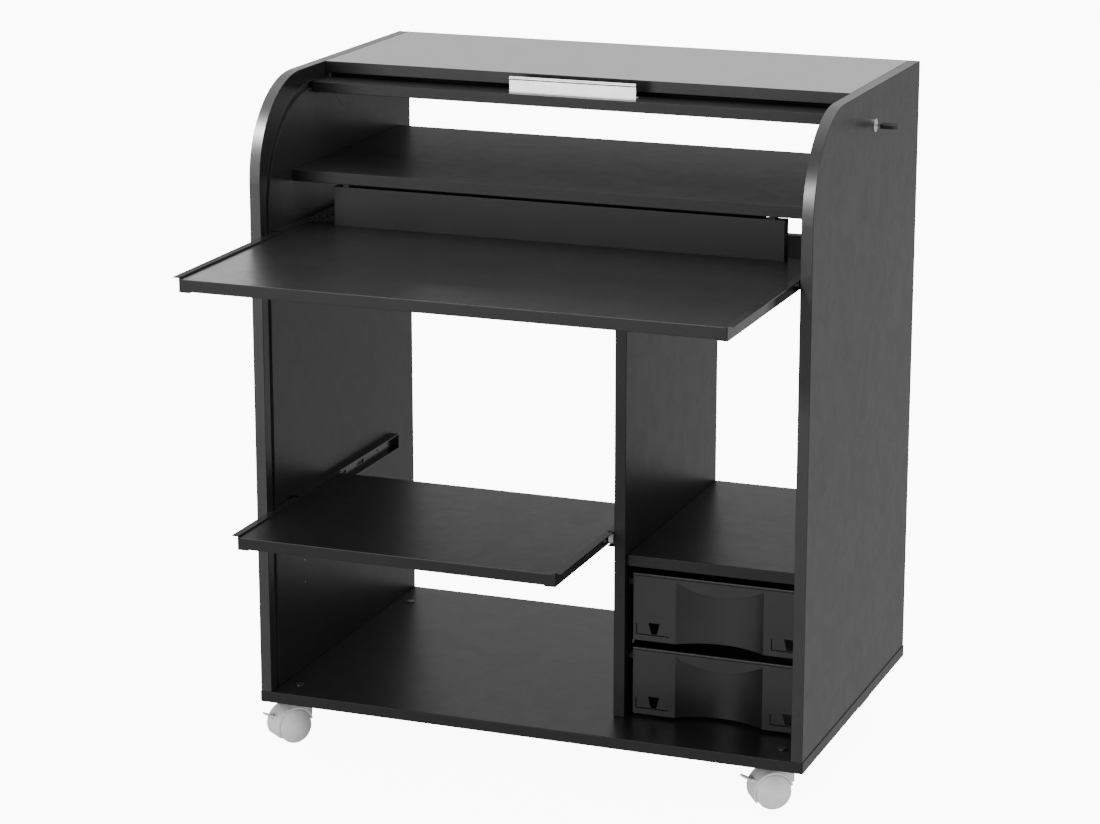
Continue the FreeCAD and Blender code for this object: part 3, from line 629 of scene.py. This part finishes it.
@dataclass
class ScrewSet:
    """Pan-head screws with a cross recess, grown on points that face where each head looks."""

    paint: Paintbox
    head_radius: float = 3.4 * MM
    head_height: float = 1.2 * MM
    recess: float = 0.9 * MM
    sides: int = 20
    crown: float = 0.78
    arm_reach: float = 1.1
    tree: Tree = field(init=False)

    def __post_init__(self) -> None:
        """Build the tree that places the heads."""
        desk, given, out = GrowTree.start("screw_heads", {
            "Head Radius": NUMBER, "Head Height": NUMBER, "Recess Width": NUMBER, "Sides": WHOLE})
        head = desk.node("GeometryNodeMeshCone")
        desk.join(given["Sides"], head.inputs["Vertices"])
        desk.join(desk.maths("MULTIPLY", given["Head Radius"], self.crown), head.inputs["Radius Top"])
        desk.join(given["Head Radius"], head.inputs["Radius Bottom"])
        desk.join(given["Head Height"], head.inputs["Depth"])
        arms = desk.node("GeometryNodeJoinGeometry")
        reach = desk.maths("MULTIPLY", given["Head Radius"], self.arm_reach)
        for long, wide in ((reach, given["Recess Width"]), (given["Recess Width"], reach)):
            arm = desk.node("GeometryNodeMeshCube")
            desk.join(desk.vector(X=long, Y=wide, Z=given["Head Height"]), arm.inputs["Size"])
            desk.join(arm.outputs["Mesh"], arms.inputs[0])
        raised = desk.node("GeometryNodeTransform")
        desk.join(arms.outputs[0], raised.inputs["Geometry"])
        desk.join(desk.vector(Z=given["Head Height"]), raised.inputs["Translation"])
        cut = desk.node("GeometryNodeMeshBoolean", operation="DIFFERENCE")
        desk.join(head.outputs["Mesh"], cut.inputs[0])
        desk.join(raised.outputs["Geometry"], cut.inputs[1])
        turn = desk.node("FunctionNodeAlignRotationToVector", axis="Z")
        desk.join(desk.named("facing", "FLOAT_VECTOR"), turn.inputs["Vector"])
        GrowTree.end(desk, given, out, Instance=cut.outputs["Mesh"], Rotation=turn.outputs["Rotation"])
        self.tree = desk.tree

    def place(self, name: str, body: str, seats: list[tuple[Vector, Vector]], shrink: float = 1.0,
              slot: str = "steel", finish: str = "") -> None:
        """Grow one group of heads and let it ride on a body.

        Args:
            name: Name of the piece.
            body: The body that carries the screws.
            seats: Where each head sits, and where it looks.
            shrink: Size against a full head.
            slot: The record's slot of the heads.
            finish: A finish other than the slot's own.
        """
        places, looks = zip(*seats)
        points = GrowTree.points(name, places, "FLOAT_VECTOR", facing=looks)
        piece = GrowTree.grow(name, points, self.tree, {
            "Head Radius": self.head_radius * shrink, "Head Height": self.head_height * shrink,
            "Recess Width": self.recess * shrink, "Sides": self.sides,
            "Material": self.paint.materials[finish or slot]})
        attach(piece, body)
        LOG.info("%s: %d screw heads on %s", name, len(seats), body)


@dataclass
class Carcass:
    """The boards, groove liners and fittings of the cabinet."""

    paint: Paintbox
    screws: ScrewSet
    boards: tuple[str, ...] = ("side_panel_left", "side_panel_right", "bottom_panel", "top_panel",
                               "upper_shelf", "right_shelf", "centre_divider", "rear_stretcher")
    fittings: tuple[str, ...] = ("shutter_track_left", "shutter_track_right", "cam_fittings", "drawer_guides",
                                 "dust_strip")
    foot_screw_depths: tuple[float, ...] = (0.150, 0.260, 0.370)
    pin_setback: float = 117.3 * MM
    pin_shrink: float = 0.3
    pin_heights: tuple[float, ...] = (204.4 * MM, 237.4 * MM)
    stop_setback: float = 114.8 * MM
    stop_height: float = 177.6 * MM
    joint_half: float = 0.45 * MM
    joint_depth: float = 0.5 * MM
    joint_proud: float = 0.06 * MM
    brush_inset: float = 2.0 * MM
    brush_length: float = 6.2 * MM

    def build(self) -> None:
        """Dress the boards, draw the joint beside the top, hang the brush and set the screws."""
        self.paint.dress([*self.boards, *self.fittings])
        self.paint.dress(["top_panel"], "board top")
        left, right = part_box("side_panel_left"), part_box("side_panel_right")
        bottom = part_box("bottom_panel")
        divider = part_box("centre_divider")
        board = right[1].x - right[0].x
        front = left[0].y
        seats = []
        for x in (left[0].x + board / 2, right[1].x - board / 2):
            seats += [(Vector((x, front + y, bottom[0].z)), DOWN) for y in self.foot_screw_depths]
        self.screws.place("carcass_screws", "frame", seats)
        # The stops are white nylon so that they show as bright dots in the dark gap beside the drawers: their
        # white paints the glint of a metal pin.
        stops = [(Vector((x, front + self.stop_setback, self.stop_height)), Vector((look, 0, 0)))
                 for x, look in ((divider[1].x, 1), (right[0].x, -1))]
        self.screws.place("drawer_stops", "frame", stops, slot="nylon")
        pins = [(Vector((left[1].x, front + self.pin_setback, z)), Vector((1, 0, 0)))
                for z in self.pin_heights]
        self.screws.place("shelf_pins", "frame", pins, shrink=self.pin_shrink)
        low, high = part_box("top_panel")
        self.paint.strip("top_joint", "frame", "felt", "felt",
                         Vector((low.x - self.joint_half, low.y, high.z - self.joint_depth)),
                         Vector((low.x + self.joint_half, high.y, high.z + self.joint_proud)))
        low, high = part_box("dust_strip")
        self.paint.strip("dust_brush", "frame", "felt", "felt",
                         Vector((low.x, low.y + self.brush_inset, low.z - self.brush_length)),
                         Vector((high.x, high.y - self.brush_inset, low.z)))


@dataclass
class PullOutTray:
    """A tray on roller runners, with the screws of its rails and runners."""

    paint: Paintbox
    screws: ScrewSet
    name: str
    extra: tuple[str, ...] = ()
    rail_steel: float = 1.2 * MM
    first_slot: float = 42.0 * MM
    slot_step: float = 124.0 * MM
    rail_screws: int = 3
    rail_screw_shrink: float = 0.8
    runner_foot: float = 7.0 * MM
    runner_screw_inset: float = 45.0 * MM
    upstand_screw_xs: tuple[float, ...] = (-0.22, 0.0, 0.22)
    seal_inset: float = 29.5 * MM
    seal_from_back: Span = (2.0 * MM, 5.5 * MM)
    seal_height: float = 5.5 * MM
    # Size of the lighter strip that paints a highlight along the tray's front top arris.
    arris: float = 0.7 * MM
    arris_inset: float = 4.0 * MM
    arris_proud: float = 0.06 * MM

    def build(self) -> None:
        """Dress the tray, its rails, runners and rollers, and set the screws."""
        nodes = [f"{self.name}_tray", f"{self.name}_front_rollers", f"{self.name}_rear_rollers", *self.extra]
        nodes += [f"{self.name}_{kind}_{side}" for kind in ("rail", "runner") for side, _ in SIDES]
        self.paint.dress(nodes)
        rail_seats, tray_seats = [], []
        for side, look in SIDES:
            low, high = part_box(f"{self.name}_rail_{side}")
            wall = low.x if look > 0 else high.x
            z = (low.z + high.z) / 2
            for index in range(self.rail_screws):
                y = low.y + self.first_slot + index * self.slot_step
                rail_seats.append((Vector((wall + look * self.rail_steel, y, z)), Vector((look, 0, 0))))
            low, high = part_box(f"{self.name}_runner_{side}")
            foot = high.x - self.runner_foot if look > 0 else low.x + self.runner_foot
            inset = self.runner_screw_inset
            for y in (low.y + inset, (low.y + high.y) / 2, high.y - inset):
                tray_seats.append((Vector((foot, y, low.z)), DOWN))
        if "keyboard_upstand" in self.extra:
            low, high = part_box("keyboard_upstand")
            middle = (low.x + high.x) / 2
            y = (low.y + high.y) / 2
            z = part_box(f"{self.name}_tray")[0].z
            tray_seats += [(Vector((middle + x, y, z)), DOWN) for x in self.upstand_screw_xs]
            self.paint.strip("upstand_seal", f"{self.name}_tray_body", "felt", "felt",
                             Vector((low.x + self.seal_inset, high.y - self.seal_from_back[1], high.z)),
                             Vector((high.x - self.seal_inset, high.y - self.seal_from_back[0],
                                     high.z + self.seal_height)))
        # A thin lighter strip along the tray's front top edge: a painted highlight on the arris.
        low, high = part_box(f"{self.name}_tray")
        self.paint.strip(f"{self.name}_tray_arris_highlight", f"{self.name}_tray_body", "arris", "board",
                         Vector((low.x + self.arris_inset, low.y, high.z - self.arris)),
                         Vector((high.x - self.arris_inset, low.y + self.arris, high.z + self.arris_proud)))
        self.screws.place(f"{self.name}_rail_screws", "frame", rail_seats, shrink=self.rail_screw_shrink,
                          finish="stem")
        self.screws.place(f"{self.name}_runner_screws", f"{self.name}_tray_body", tray_seats)


@dataclass
class Shutter:
    """The shutter: end bar, handle and a ribbed curtain that follows the grooves."""

    paint: Paintbox
    radius: float = 149.0 * MM
    thickness: float = 8.0 * MM
    cloth: float = 0.6 * MM
    first_deg: float = 18.62
    last_deg: float = 29.0
    travel_deg: float = 90.0
    slats: int = 23
    rib_sides: int = 12
    overlap: float = 1.12
    cloth_steps: int = 48
    halvings: int = 50
    plug_degrees: Span = (30.0, 44.5)
    plug_half: float = 5.6 * MM
    plug_proud: float = 0.2 * MM
    plug_depth: float = 6.0 * MM
    plug_steps: int = 10
    axis: Vector = field(init=False)

    def __post_init__(self) -> None:
        """Read the hinge line from the joint."""
        joint = next(j for j in frame["joints"] if j["name"] == "shutter_turn")
        self.axis = Vector(joint["pos_m"])

    def point(self, degrees: float, radius: float, x: float = 0.0) -> Vector:
        """Point on the shutter's round path, measured from straight up towards the back."""
        angle = math.radians(degrees)
        return Vector((x, self.axis.y + radius * math.sin(angle), self.axis.z + radius * math.cos(angle)))

    def closed_angle(self, degrees: float) -> float:
        """Where a point of the curtain lies when the shutter is down.

        Args:
            degrees: Its angle with the shutter up.

        Returns:
            Its angle with the shutter down.
        """
        start, end = self.point(self.last_deg, self.radius), self.point(self.first_deg, self.radius)
        run = end - start
        share = min(max((self.point(degrees, self.radius) - start).dot(run) / run.length_squared, 0.0), 1.0)
        return degrees - self.travel_deg * share * share * (3 - 2 * share)

    def stored_angle(self, closed: float) -> float:
        """Where a point of the curtain lies when the shutter is up, found by halving.

        Args:
            closed: Its angle with the shutter down.

        Returns:
            Its angle with the shutter up.
        """
        low, high = self.first_deg, self.last_deg
        for _ in range(self.halvings):
            middle = (low + high) / 2
            if self.closed_angle(middle) < closed:
                low = middle
            else:
                high = middle
        return (low + high) / 2

    def build(self) -> None:
        """Dress the bar and handle, and make the curtain and its backing."""
        self.paint.dress(["shutter_end_bar", "shutter_handle", "handle_screws"])
        for piece, node, slot in ((self._curtain(), "shutter_slats", "slat"),
                                  (self._backing(), "shutter_backing", "cloth")):
            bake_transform(piece)
            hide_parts(node)
            LOG.info("%s bends between the cabinet and the shutter", piece.name)
        for side, look in SIDES:
            low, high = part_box(f"shutter_track_{side}")
            face = high.x if look > 0 else low.x
            ends = sorted((face + look * self.plug_proud, face - look * self.plug_depth))
            radii = (self.radius - self.plug_half, self.radius + self.plug_half)
            plug = self._arc_strip(f"groove_plug_{side}", "board", ends, self.plug_degrees, radii,
                                   self.plug_steps)
            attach(plug, "frame")

    def _arc_strip(self, name: str, finish: str, sides: list[float], degrees: Span, radii: Span,
                   steps: int) -> Thing:
        """A closed strip that follows the shutter's round path.

        Args:
            name: Name of the piece.
            finish: Its finish.
            sides: Where it starts and ends across the desk.
            degrees: Where it starts and ends along the path.
            radii: Its inner and outer radius.
            steps: Number of flats along the path.

        Returns:
            The strip.
        """
        corners, faces = [], []
        for index in range(steps + 1):
            angle = degrees[0] + (degrees[1] - degrees[0]) * index / steps
            corners += [self.point(angle, radius, x) for radius in radii for x in sides]
        for index in range(steps):
            a, b = 4 * index, 4 * index + 4
            faces += [(a, b, b + 1, a + 1), (a + 2, a + 3, b + 3, b + 2),
                      (a, a + 2, b + 2, b), (a + 1, b + 1, b + 3, a + 3)]
        last = 4 * steps
        faces += [(0, 1, 3, 2), (last, last + 2, last + 3, last + 1)]
        return self.paint.piece(name, finish, corners, faces)

    def _slat_tree(self) -> Tree:
        """Tree that lays slats across the round path, each as wide as its point says."""
        desk, given, out = GrowTree.start("shutter_slats_on_path", {
            "Radius": NUMBER, "Thickness": NUMBER, "Length": NUMBER, "Sides": WHOLE, "Axis": VECTOR})
        angle = desk.named("angle", "FLOAT")
        across, up = (desk.maths("MULTIPLY", desk.maths(trig, angle), given["Radius"])
                      for trig in ("SINE", "COSINE"))
        onto = desk.node("ShaderNodeVectorMath", operation="ADD")
        desk.join(desk.vector(Y=across, Z=up), onto.inputs[0])
        desk.join(given["Axis"], onto.inputs[1])
        moved = desk.node("GeometryNodeSetPosition")
        desk.join(given["Points"], moved.inputs["Geometry"])
        desk.join(onto.outputs[0], moved.inputs["Position"])
        path = desk.node("GeometryNodeCurvePrimitiveLine")
        for label, share in (("Start", -0.5), ("End", 0.5)):
            desk.join(desk.vector(X=desk.maths("MULTIPLY", given["Length"], share)), path.inputs[label])
        ring = desk.node("GeometryNodeCurvePrimitiveCircle")
        desk.join(given["Sides"], ring.inputs["Resolution"])
        ring.inputs["Radius"].default_value = 0.5
        slat = desk.node("GeometryNodeCurveToMesh")
        desk.join(path.outputs["Curve"], slat.inputs["Curve"])
        desk.join(ring.outputs["Curve"], slat.inputs["Profile Curve"])
        slat.inputs["Fill Caps"].default_value = True
        spin = desk.node("FunctionNodeEulerToRotation")
        desk.join(desk.vector(X=desk.maths("MULTIPLY", angle, -1.0)), spin.inputs["Euler"])
        GrowTree.end(desk, given, out, Points=moved.outputs["Geometry"], Instance=slat.outputs["Mesh"],
                     Rotation=spin.outputs["Rotation"],
                     Scale=desk.vector(X=1.0, Y=desk.named("wide", "FLOAT"), Z=given["Thickness"]))
        return desk.tree

    def _curtain(self) -> Thing:
        """Slats whose widths come out even when the shutter is down.

        Returns:
            The curtain.
        """
        low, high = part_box("shutter_slats")
        bottom = self.closed_angle(self.first_deg)
        step = (self.last_deg - bottom) / self.slats
        bounds = [self.stored_angle(bottom + step * index) for index in range(self.slats + 1)]
        pairs = list(zip(bounds, bounds[1:]))
        points = GrowTree.points(
            "shutter_curtain", [(0.0, 0.0, 0.0)] * self.slats, "FLOAT",
            angle=[math.radians((first + last) / 2) for first, last in pairs],
            wide=[math.radians(last - first) * self.radius * self.overlap for first, last in pairs])
        middle = (low.x + high.x) / 2
        return GrowTree.grow("shutter_curtain", points, self._slat_tree(), {
            "Radius": self.radius, "Thickness": self.thickness, "Length": high.x - low.x,
            "Sides": self.rib_sides, "Axis": (middle, self.axis.y, self.axis.z),
            "Material": self.paint.materials["slat"]})

    def _backing(self) -> Thing:
        """Cloth glued behind the slats, a closed thin strip.

        Returns:
            The cloth.
        """
        low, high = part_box("shutter_backing")
        outer = self.radius - self.thickness / 2
        return self._arc_strip("shutter_backing_cloth", "cloth", [low.x, high.x],
                               (self.first_deg, self.last_deg), (outer - self.cloth, outer), self.cloth_steps)


@dataclass
class DrawerPair:
    """The two moulded drawers under the right shelf, with dark strips of painted shade along the lines on their
    fronts.
    """

    paint: Paintbox
    flange: float = 5.5 * MM
    line_width: float = 1.3 * MM
    line_rise: float = 8.0 * MM
    line_long: float = 47.0 * MM
    line_tall: float = 16.0 * MM
    line_insets: tuple[float, float] = (5.0 * MM, 50.75 * MM)
    rim_drop: float = 3.2 * MM
    rim_width: float = 0.8 * MM
    rim_inset: float = 1.6 * MM
    proud: float = 0.08 * MM
    sunk: float = 0.5 * MM

    def build(self) -> None:
        """Dress both drawers and lay dark strips of painted shade along the lines on their fronts."""
        tree = self._line_tree()
        for name in ("lower_drawer", "upper_drawer"):
            self.paint.dress([name])
            lines = self._lines(*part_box(name))
            middles, sizes = zip(*lines)
            points = GrowTree.points(name + "_line", middles, "FLOAT_VECTOR", size=sizes)
            # The grown strips are painted shade: near-black bars sunk into the front and standing just proud of
            # it.
            piece = GrowTree.grow(name + "_lines", points, tree,
                                  {"Material": self.paint.materials["painted shade line"]})
            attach(piece, name + "_body")
            LOG.info("%s: %d moulded lines", name, len(lines))

    def _lines(self, low: Vector, high: Vector) -> list[tuple[Vector, Vector]]:
        """Middle and size of each line on a drawer's front.

        Args:
            low: Least corner of the drawer's box.
            high: Greatest corner of the drawer's box.

        Returns:
            A middle and a size for each line.
        """
        left, right = low.x + self.flange, high.x - self.flange
        foot = low.z + self.line_rise
        # Each span is a strip of painted shade: one just under the top edge, and an L near the foot at each side.
        spans = [(left + self.rim_inset, right - self.rim_inset,
                  high.z - self.rim_drop - self.rim_width, high.z - self.rim_drop)]
        for start in (left + self.line_insets[0], right - self.line_insets[1]):
            spans.append((start, start + self.line_long, foot, foot + self.line_width))
            spans.append((start, start + self.line_width, foot + self.line_width, foot + self.line_tall))
        depth = (self.sunk - self.proud) / 2
        return [(Vector(((x0 + x1) / 2, low.y + depth, (z0 + z1) / 2)),
                 Vector((x1 - x0, self.sunk + self.proud, z1 - z0))) for x0, x1, z0, z1 in spans]

    @staticmethod
    def _line_tree() -> Tree:
        """Tree that sets a thin bar on each point, as large as the point says.

        Returns:
            The tree.
        """
        desk, given, out = GrowTree.start("painted_shade_lines_on_points", {})
        bar = desk.node("GeometryNodeMeshCube")
        GrowTree.end(desk, given, out, Instance=bar.outputs["Mesh"], Scale=desk.named("size", "FLOAT_VECTOR"))
        return desk.tree


@dataclass
class CastorSet:
    """Four twin-wheel castors, the front pair with brakes."""

    paint: Paintbox
    places: tuple[str, ...] = ("front_left", "front_right", "rear_left", "rear_right")

    def build(self) -> None:
        """Dress hoods, wheels, axles, brakes and stems."""
        self.paint.dress(["castor_stems"], "stem")
        nodes = []
        for place in self.places:
            nodes += [f"castor_hood_{place}", f"castor_axle_{place}",
                      f"castor_wheel_{place}_inner", f"castor_wheel_{place}_outer"]
            if place.startswith("front"):
                nodes.append(f"castor_brake_{place}")
        self.paint.dress(nodes)


@dataclass
class CamLock:
    """The lock in the right side panel, with its key."""

    paint: Paintbox

    def build(self) -> None:
        """Dress the lock and the key."""
        self.paint.dress(["lock_case", "lock_barrel", "lock_cam", "key_blade", "key_bow"])


@dataclass(frozen=True)
class Lamp:
    """A soft box: where it hangs, where it points, how wide and strong it is, and what it is kept to."""

    name: str
    place: tuple[float, float, float]
    target: tuple[float, float, float]
    size: float
    power: float
    only: tuple[str, ...] = ()

    def hang(self) -> None:
        """Put the soft box in the scene."""
        light = bpy.data.lights.new(self.name, "AREA")
        light.size = self.size
        light.energy = self.power
        thing = bpy.data.objects.new(self.name, light)
        thing.location = self.place
        thing.rotation_euler = (Vector(self.target) - Vector(self.place)).to_track_quat("-Z", "Y").to_euler()
        bpy.context.scene.collection.objects.link(thing)
        if self.only:
            lit = bpy.data.collections.new(self.name + "_light")
            for node in self.only:
                lit.objects.link(frame["nodes"][node])
            thing.light_linking.receiver_collection = lit


@dataclass
class Studio:
    """Pale floor, soft light and the camera."""

    floor_half: float = 40.0
    floor_drop: float = 0.3 * MM
    camera_place: tuple[float, float, float] = (1.5283, -4.0612, 1.6574)
    camera_turn: tuple[float, float, float] = (74.945, 0.0, 20.925)
    lens: float = 108.344
    low_light: float = 0.66
    horizon_light: float = 0.32
    zenith_light: float = 0.9
    high_span: Span = (0.25, 0.85)
    low_span: Span = (-0.18, 0.0)
    floor_glow: float = 10.0
    sensor: float = 36.0
    sight: float = 200.0
    paper: Finish = Finish(
        "studio_paper", "", (0.86, 0.86, 0.86), (0.90, 0.90, 0.90), (0.60, 0.75), grain_scale=300.0,
        relief=0.1, depth=0.03 * MM, dust=(0.80, 0.80, 0.80), mark_scale=2.0, drift_scale=1.5, specular=0.2)
    lamps: tuple[Lamp, ...] = (
        Lamp("overhead", (-0.4, 1.2, 4.6), (0.0, 0.4, 0.0), 4.0, 110.0),
        Lamp("front", (-1.8, -4.6, 1.3), (0.0, 0.0, 0.5), 2.5, 104.0),
        Lamp("right_fill", (4.2, -0.6, 2.4), (0.3, 0.1, 0.5), 2.0, 90.0),
        Lamp("rear", (-1.2, 3.8, 2.7), (0.0, 0.2, 0.9), 3.0, 28.0,
             ("top_panel", "side_panel_left", "side_panel_right")),
        Lamp("rear_low", (-1.25, 3.6, 1.5), (0.0, 0.0, 0.3), 1.8, 3.8,
             ("printer_tray", "right_shelf", "bottom_panel")),
        Lamp("rear_left", (-2.4, 3.6, 1.75), (-0.3, -0.3, 0.7), 1.4, 20.0, ("keyboard_tray",)),
        Lamp("left_glint", (-2.13, -2.5, 3.55), (-0.4, -0.1, 0.85), 0.5, 800.0, ("side_panel_left",)),
        Lamp("right_glint", (-0.73, -3.6, 2.4), (0.37, -0.1, 0.82), 0.5, 280.0, ("side_panel_right",)),
    )

    def build(self, effects: SurfaceEffects) -> None:
        """Set up the stage.

        Args:
            effects: The shared shader groups.
        """
        self._floor(effects)
        self._light()
        self._camera()

    def _floor(self, effects: SurfaceEffects) -> None:
        """Lay the floor."""
        h, z = self.floor_half, -self.floor_drop
        mesh = bpy.data.meshes.new("studio_floor")
        mesh.from_pydata([(-h, -h, z), (h, -h, z), (h, h, z), (-h, h, z)], [], [(0, 1, 2, 3)])
        material = self.paper.build(effects)
        desk = NodeDesk(material.node_tree)
        shader = material.node_tree.nodes["Principled BSDF"]
        shader.inputs["Emission Color"].default_value = WHITE
        seen = desk.node("ShaderNodeLightPath").outputs["Is Camera Ray"]
        desk.join(desk.maths("MULTIPLY", seen, self.floor_glow), shader.inputs["Emission Strength"])
        mesh.materials.append(material)
        floor = bpy.data.objects.new("studio_floor", mesh)
        bpy.context.scene.collection.objects.link(floor)
        floor.visible_glossy = False

    def _light(self) -> None:
        """Set the soft boxes and the even light from all round."""
        world = bpy.data.worlds.new("studio_world")
        world.use_nodes = True
        desk = NodeDesk(world.node_tree)
        parts = desk.node("ShaderNodeSeparateXYZ")
        desk.join(desk.node("ShaderNodeTexCoord").outputs["Generated"], parts.inputs[0])
        high = desk.ramp(parts.outputs["Z"], self.high_span, (self.horizon_light, self.zenith_light))
        low = desk.ramp(parts.outputs["Z"], self.low_span, (self.low_light - self.horizon_light, 0.0))
        seen = desk.node("ShaderNodeLightPath").outputs["Is Camera Ray"]
        backdrop = desk.maths("MULTIPLY", seen, self.floor_glow)
        sky = world.node_tree.nodes["Background"]
        desk.join(desk.maths("ADD", desk.maths("ADD", high, low), backdrop), sky.inputs["Strength"])
        sky.inputs["Color"].default_value = WHITE
        bpy.context.scene.world = world
        for lamp in self.lamps:
            lamp.hang()

    def _camera(self) -> None:
        """Stand the camera where the picture was taken."""
        lens = bpy.data.cameras.new("studio_camera")
        lens.sensor_fit = "HORIZONTAL"
        lens.sensor_width = self.sensor
        lens.lens = self.lens
        lens.clip_end = self.sight
        camera = bpy.data.objects.new("studio_camera", lens)
        camera.location = self.camera_place
        camera.rotation_euler = tuple(math.radians(turn) for turn in self.camera_turn)
        bpy.context.scene.collection.objects.link(camera)
        bpy.context.scene.camera = camera


def main() -> None:
    """Build the desk's sub-assemblies in order, then the studio."""
    logging.basicConfig(level=logging.INFO, format="%(name)s: %(message)s")
    paint = Paintbox()
    screws = ScrewSet(paint)
    Carcass(paint, screws).build()
    PullOutTray(paint, screws, "keyboard", extra=("keyboard_upstand", "upstand_buffers")).build()
    PullOutTray(paint, screws, "printer").build()
    Shutter(paint).build()
    DrawerPair(paint).build()
    CastorSet(paint).build()
    CamLock(paint).build()
    Studio().build(paint.effects)


if __name__ == "__main__":
    main()
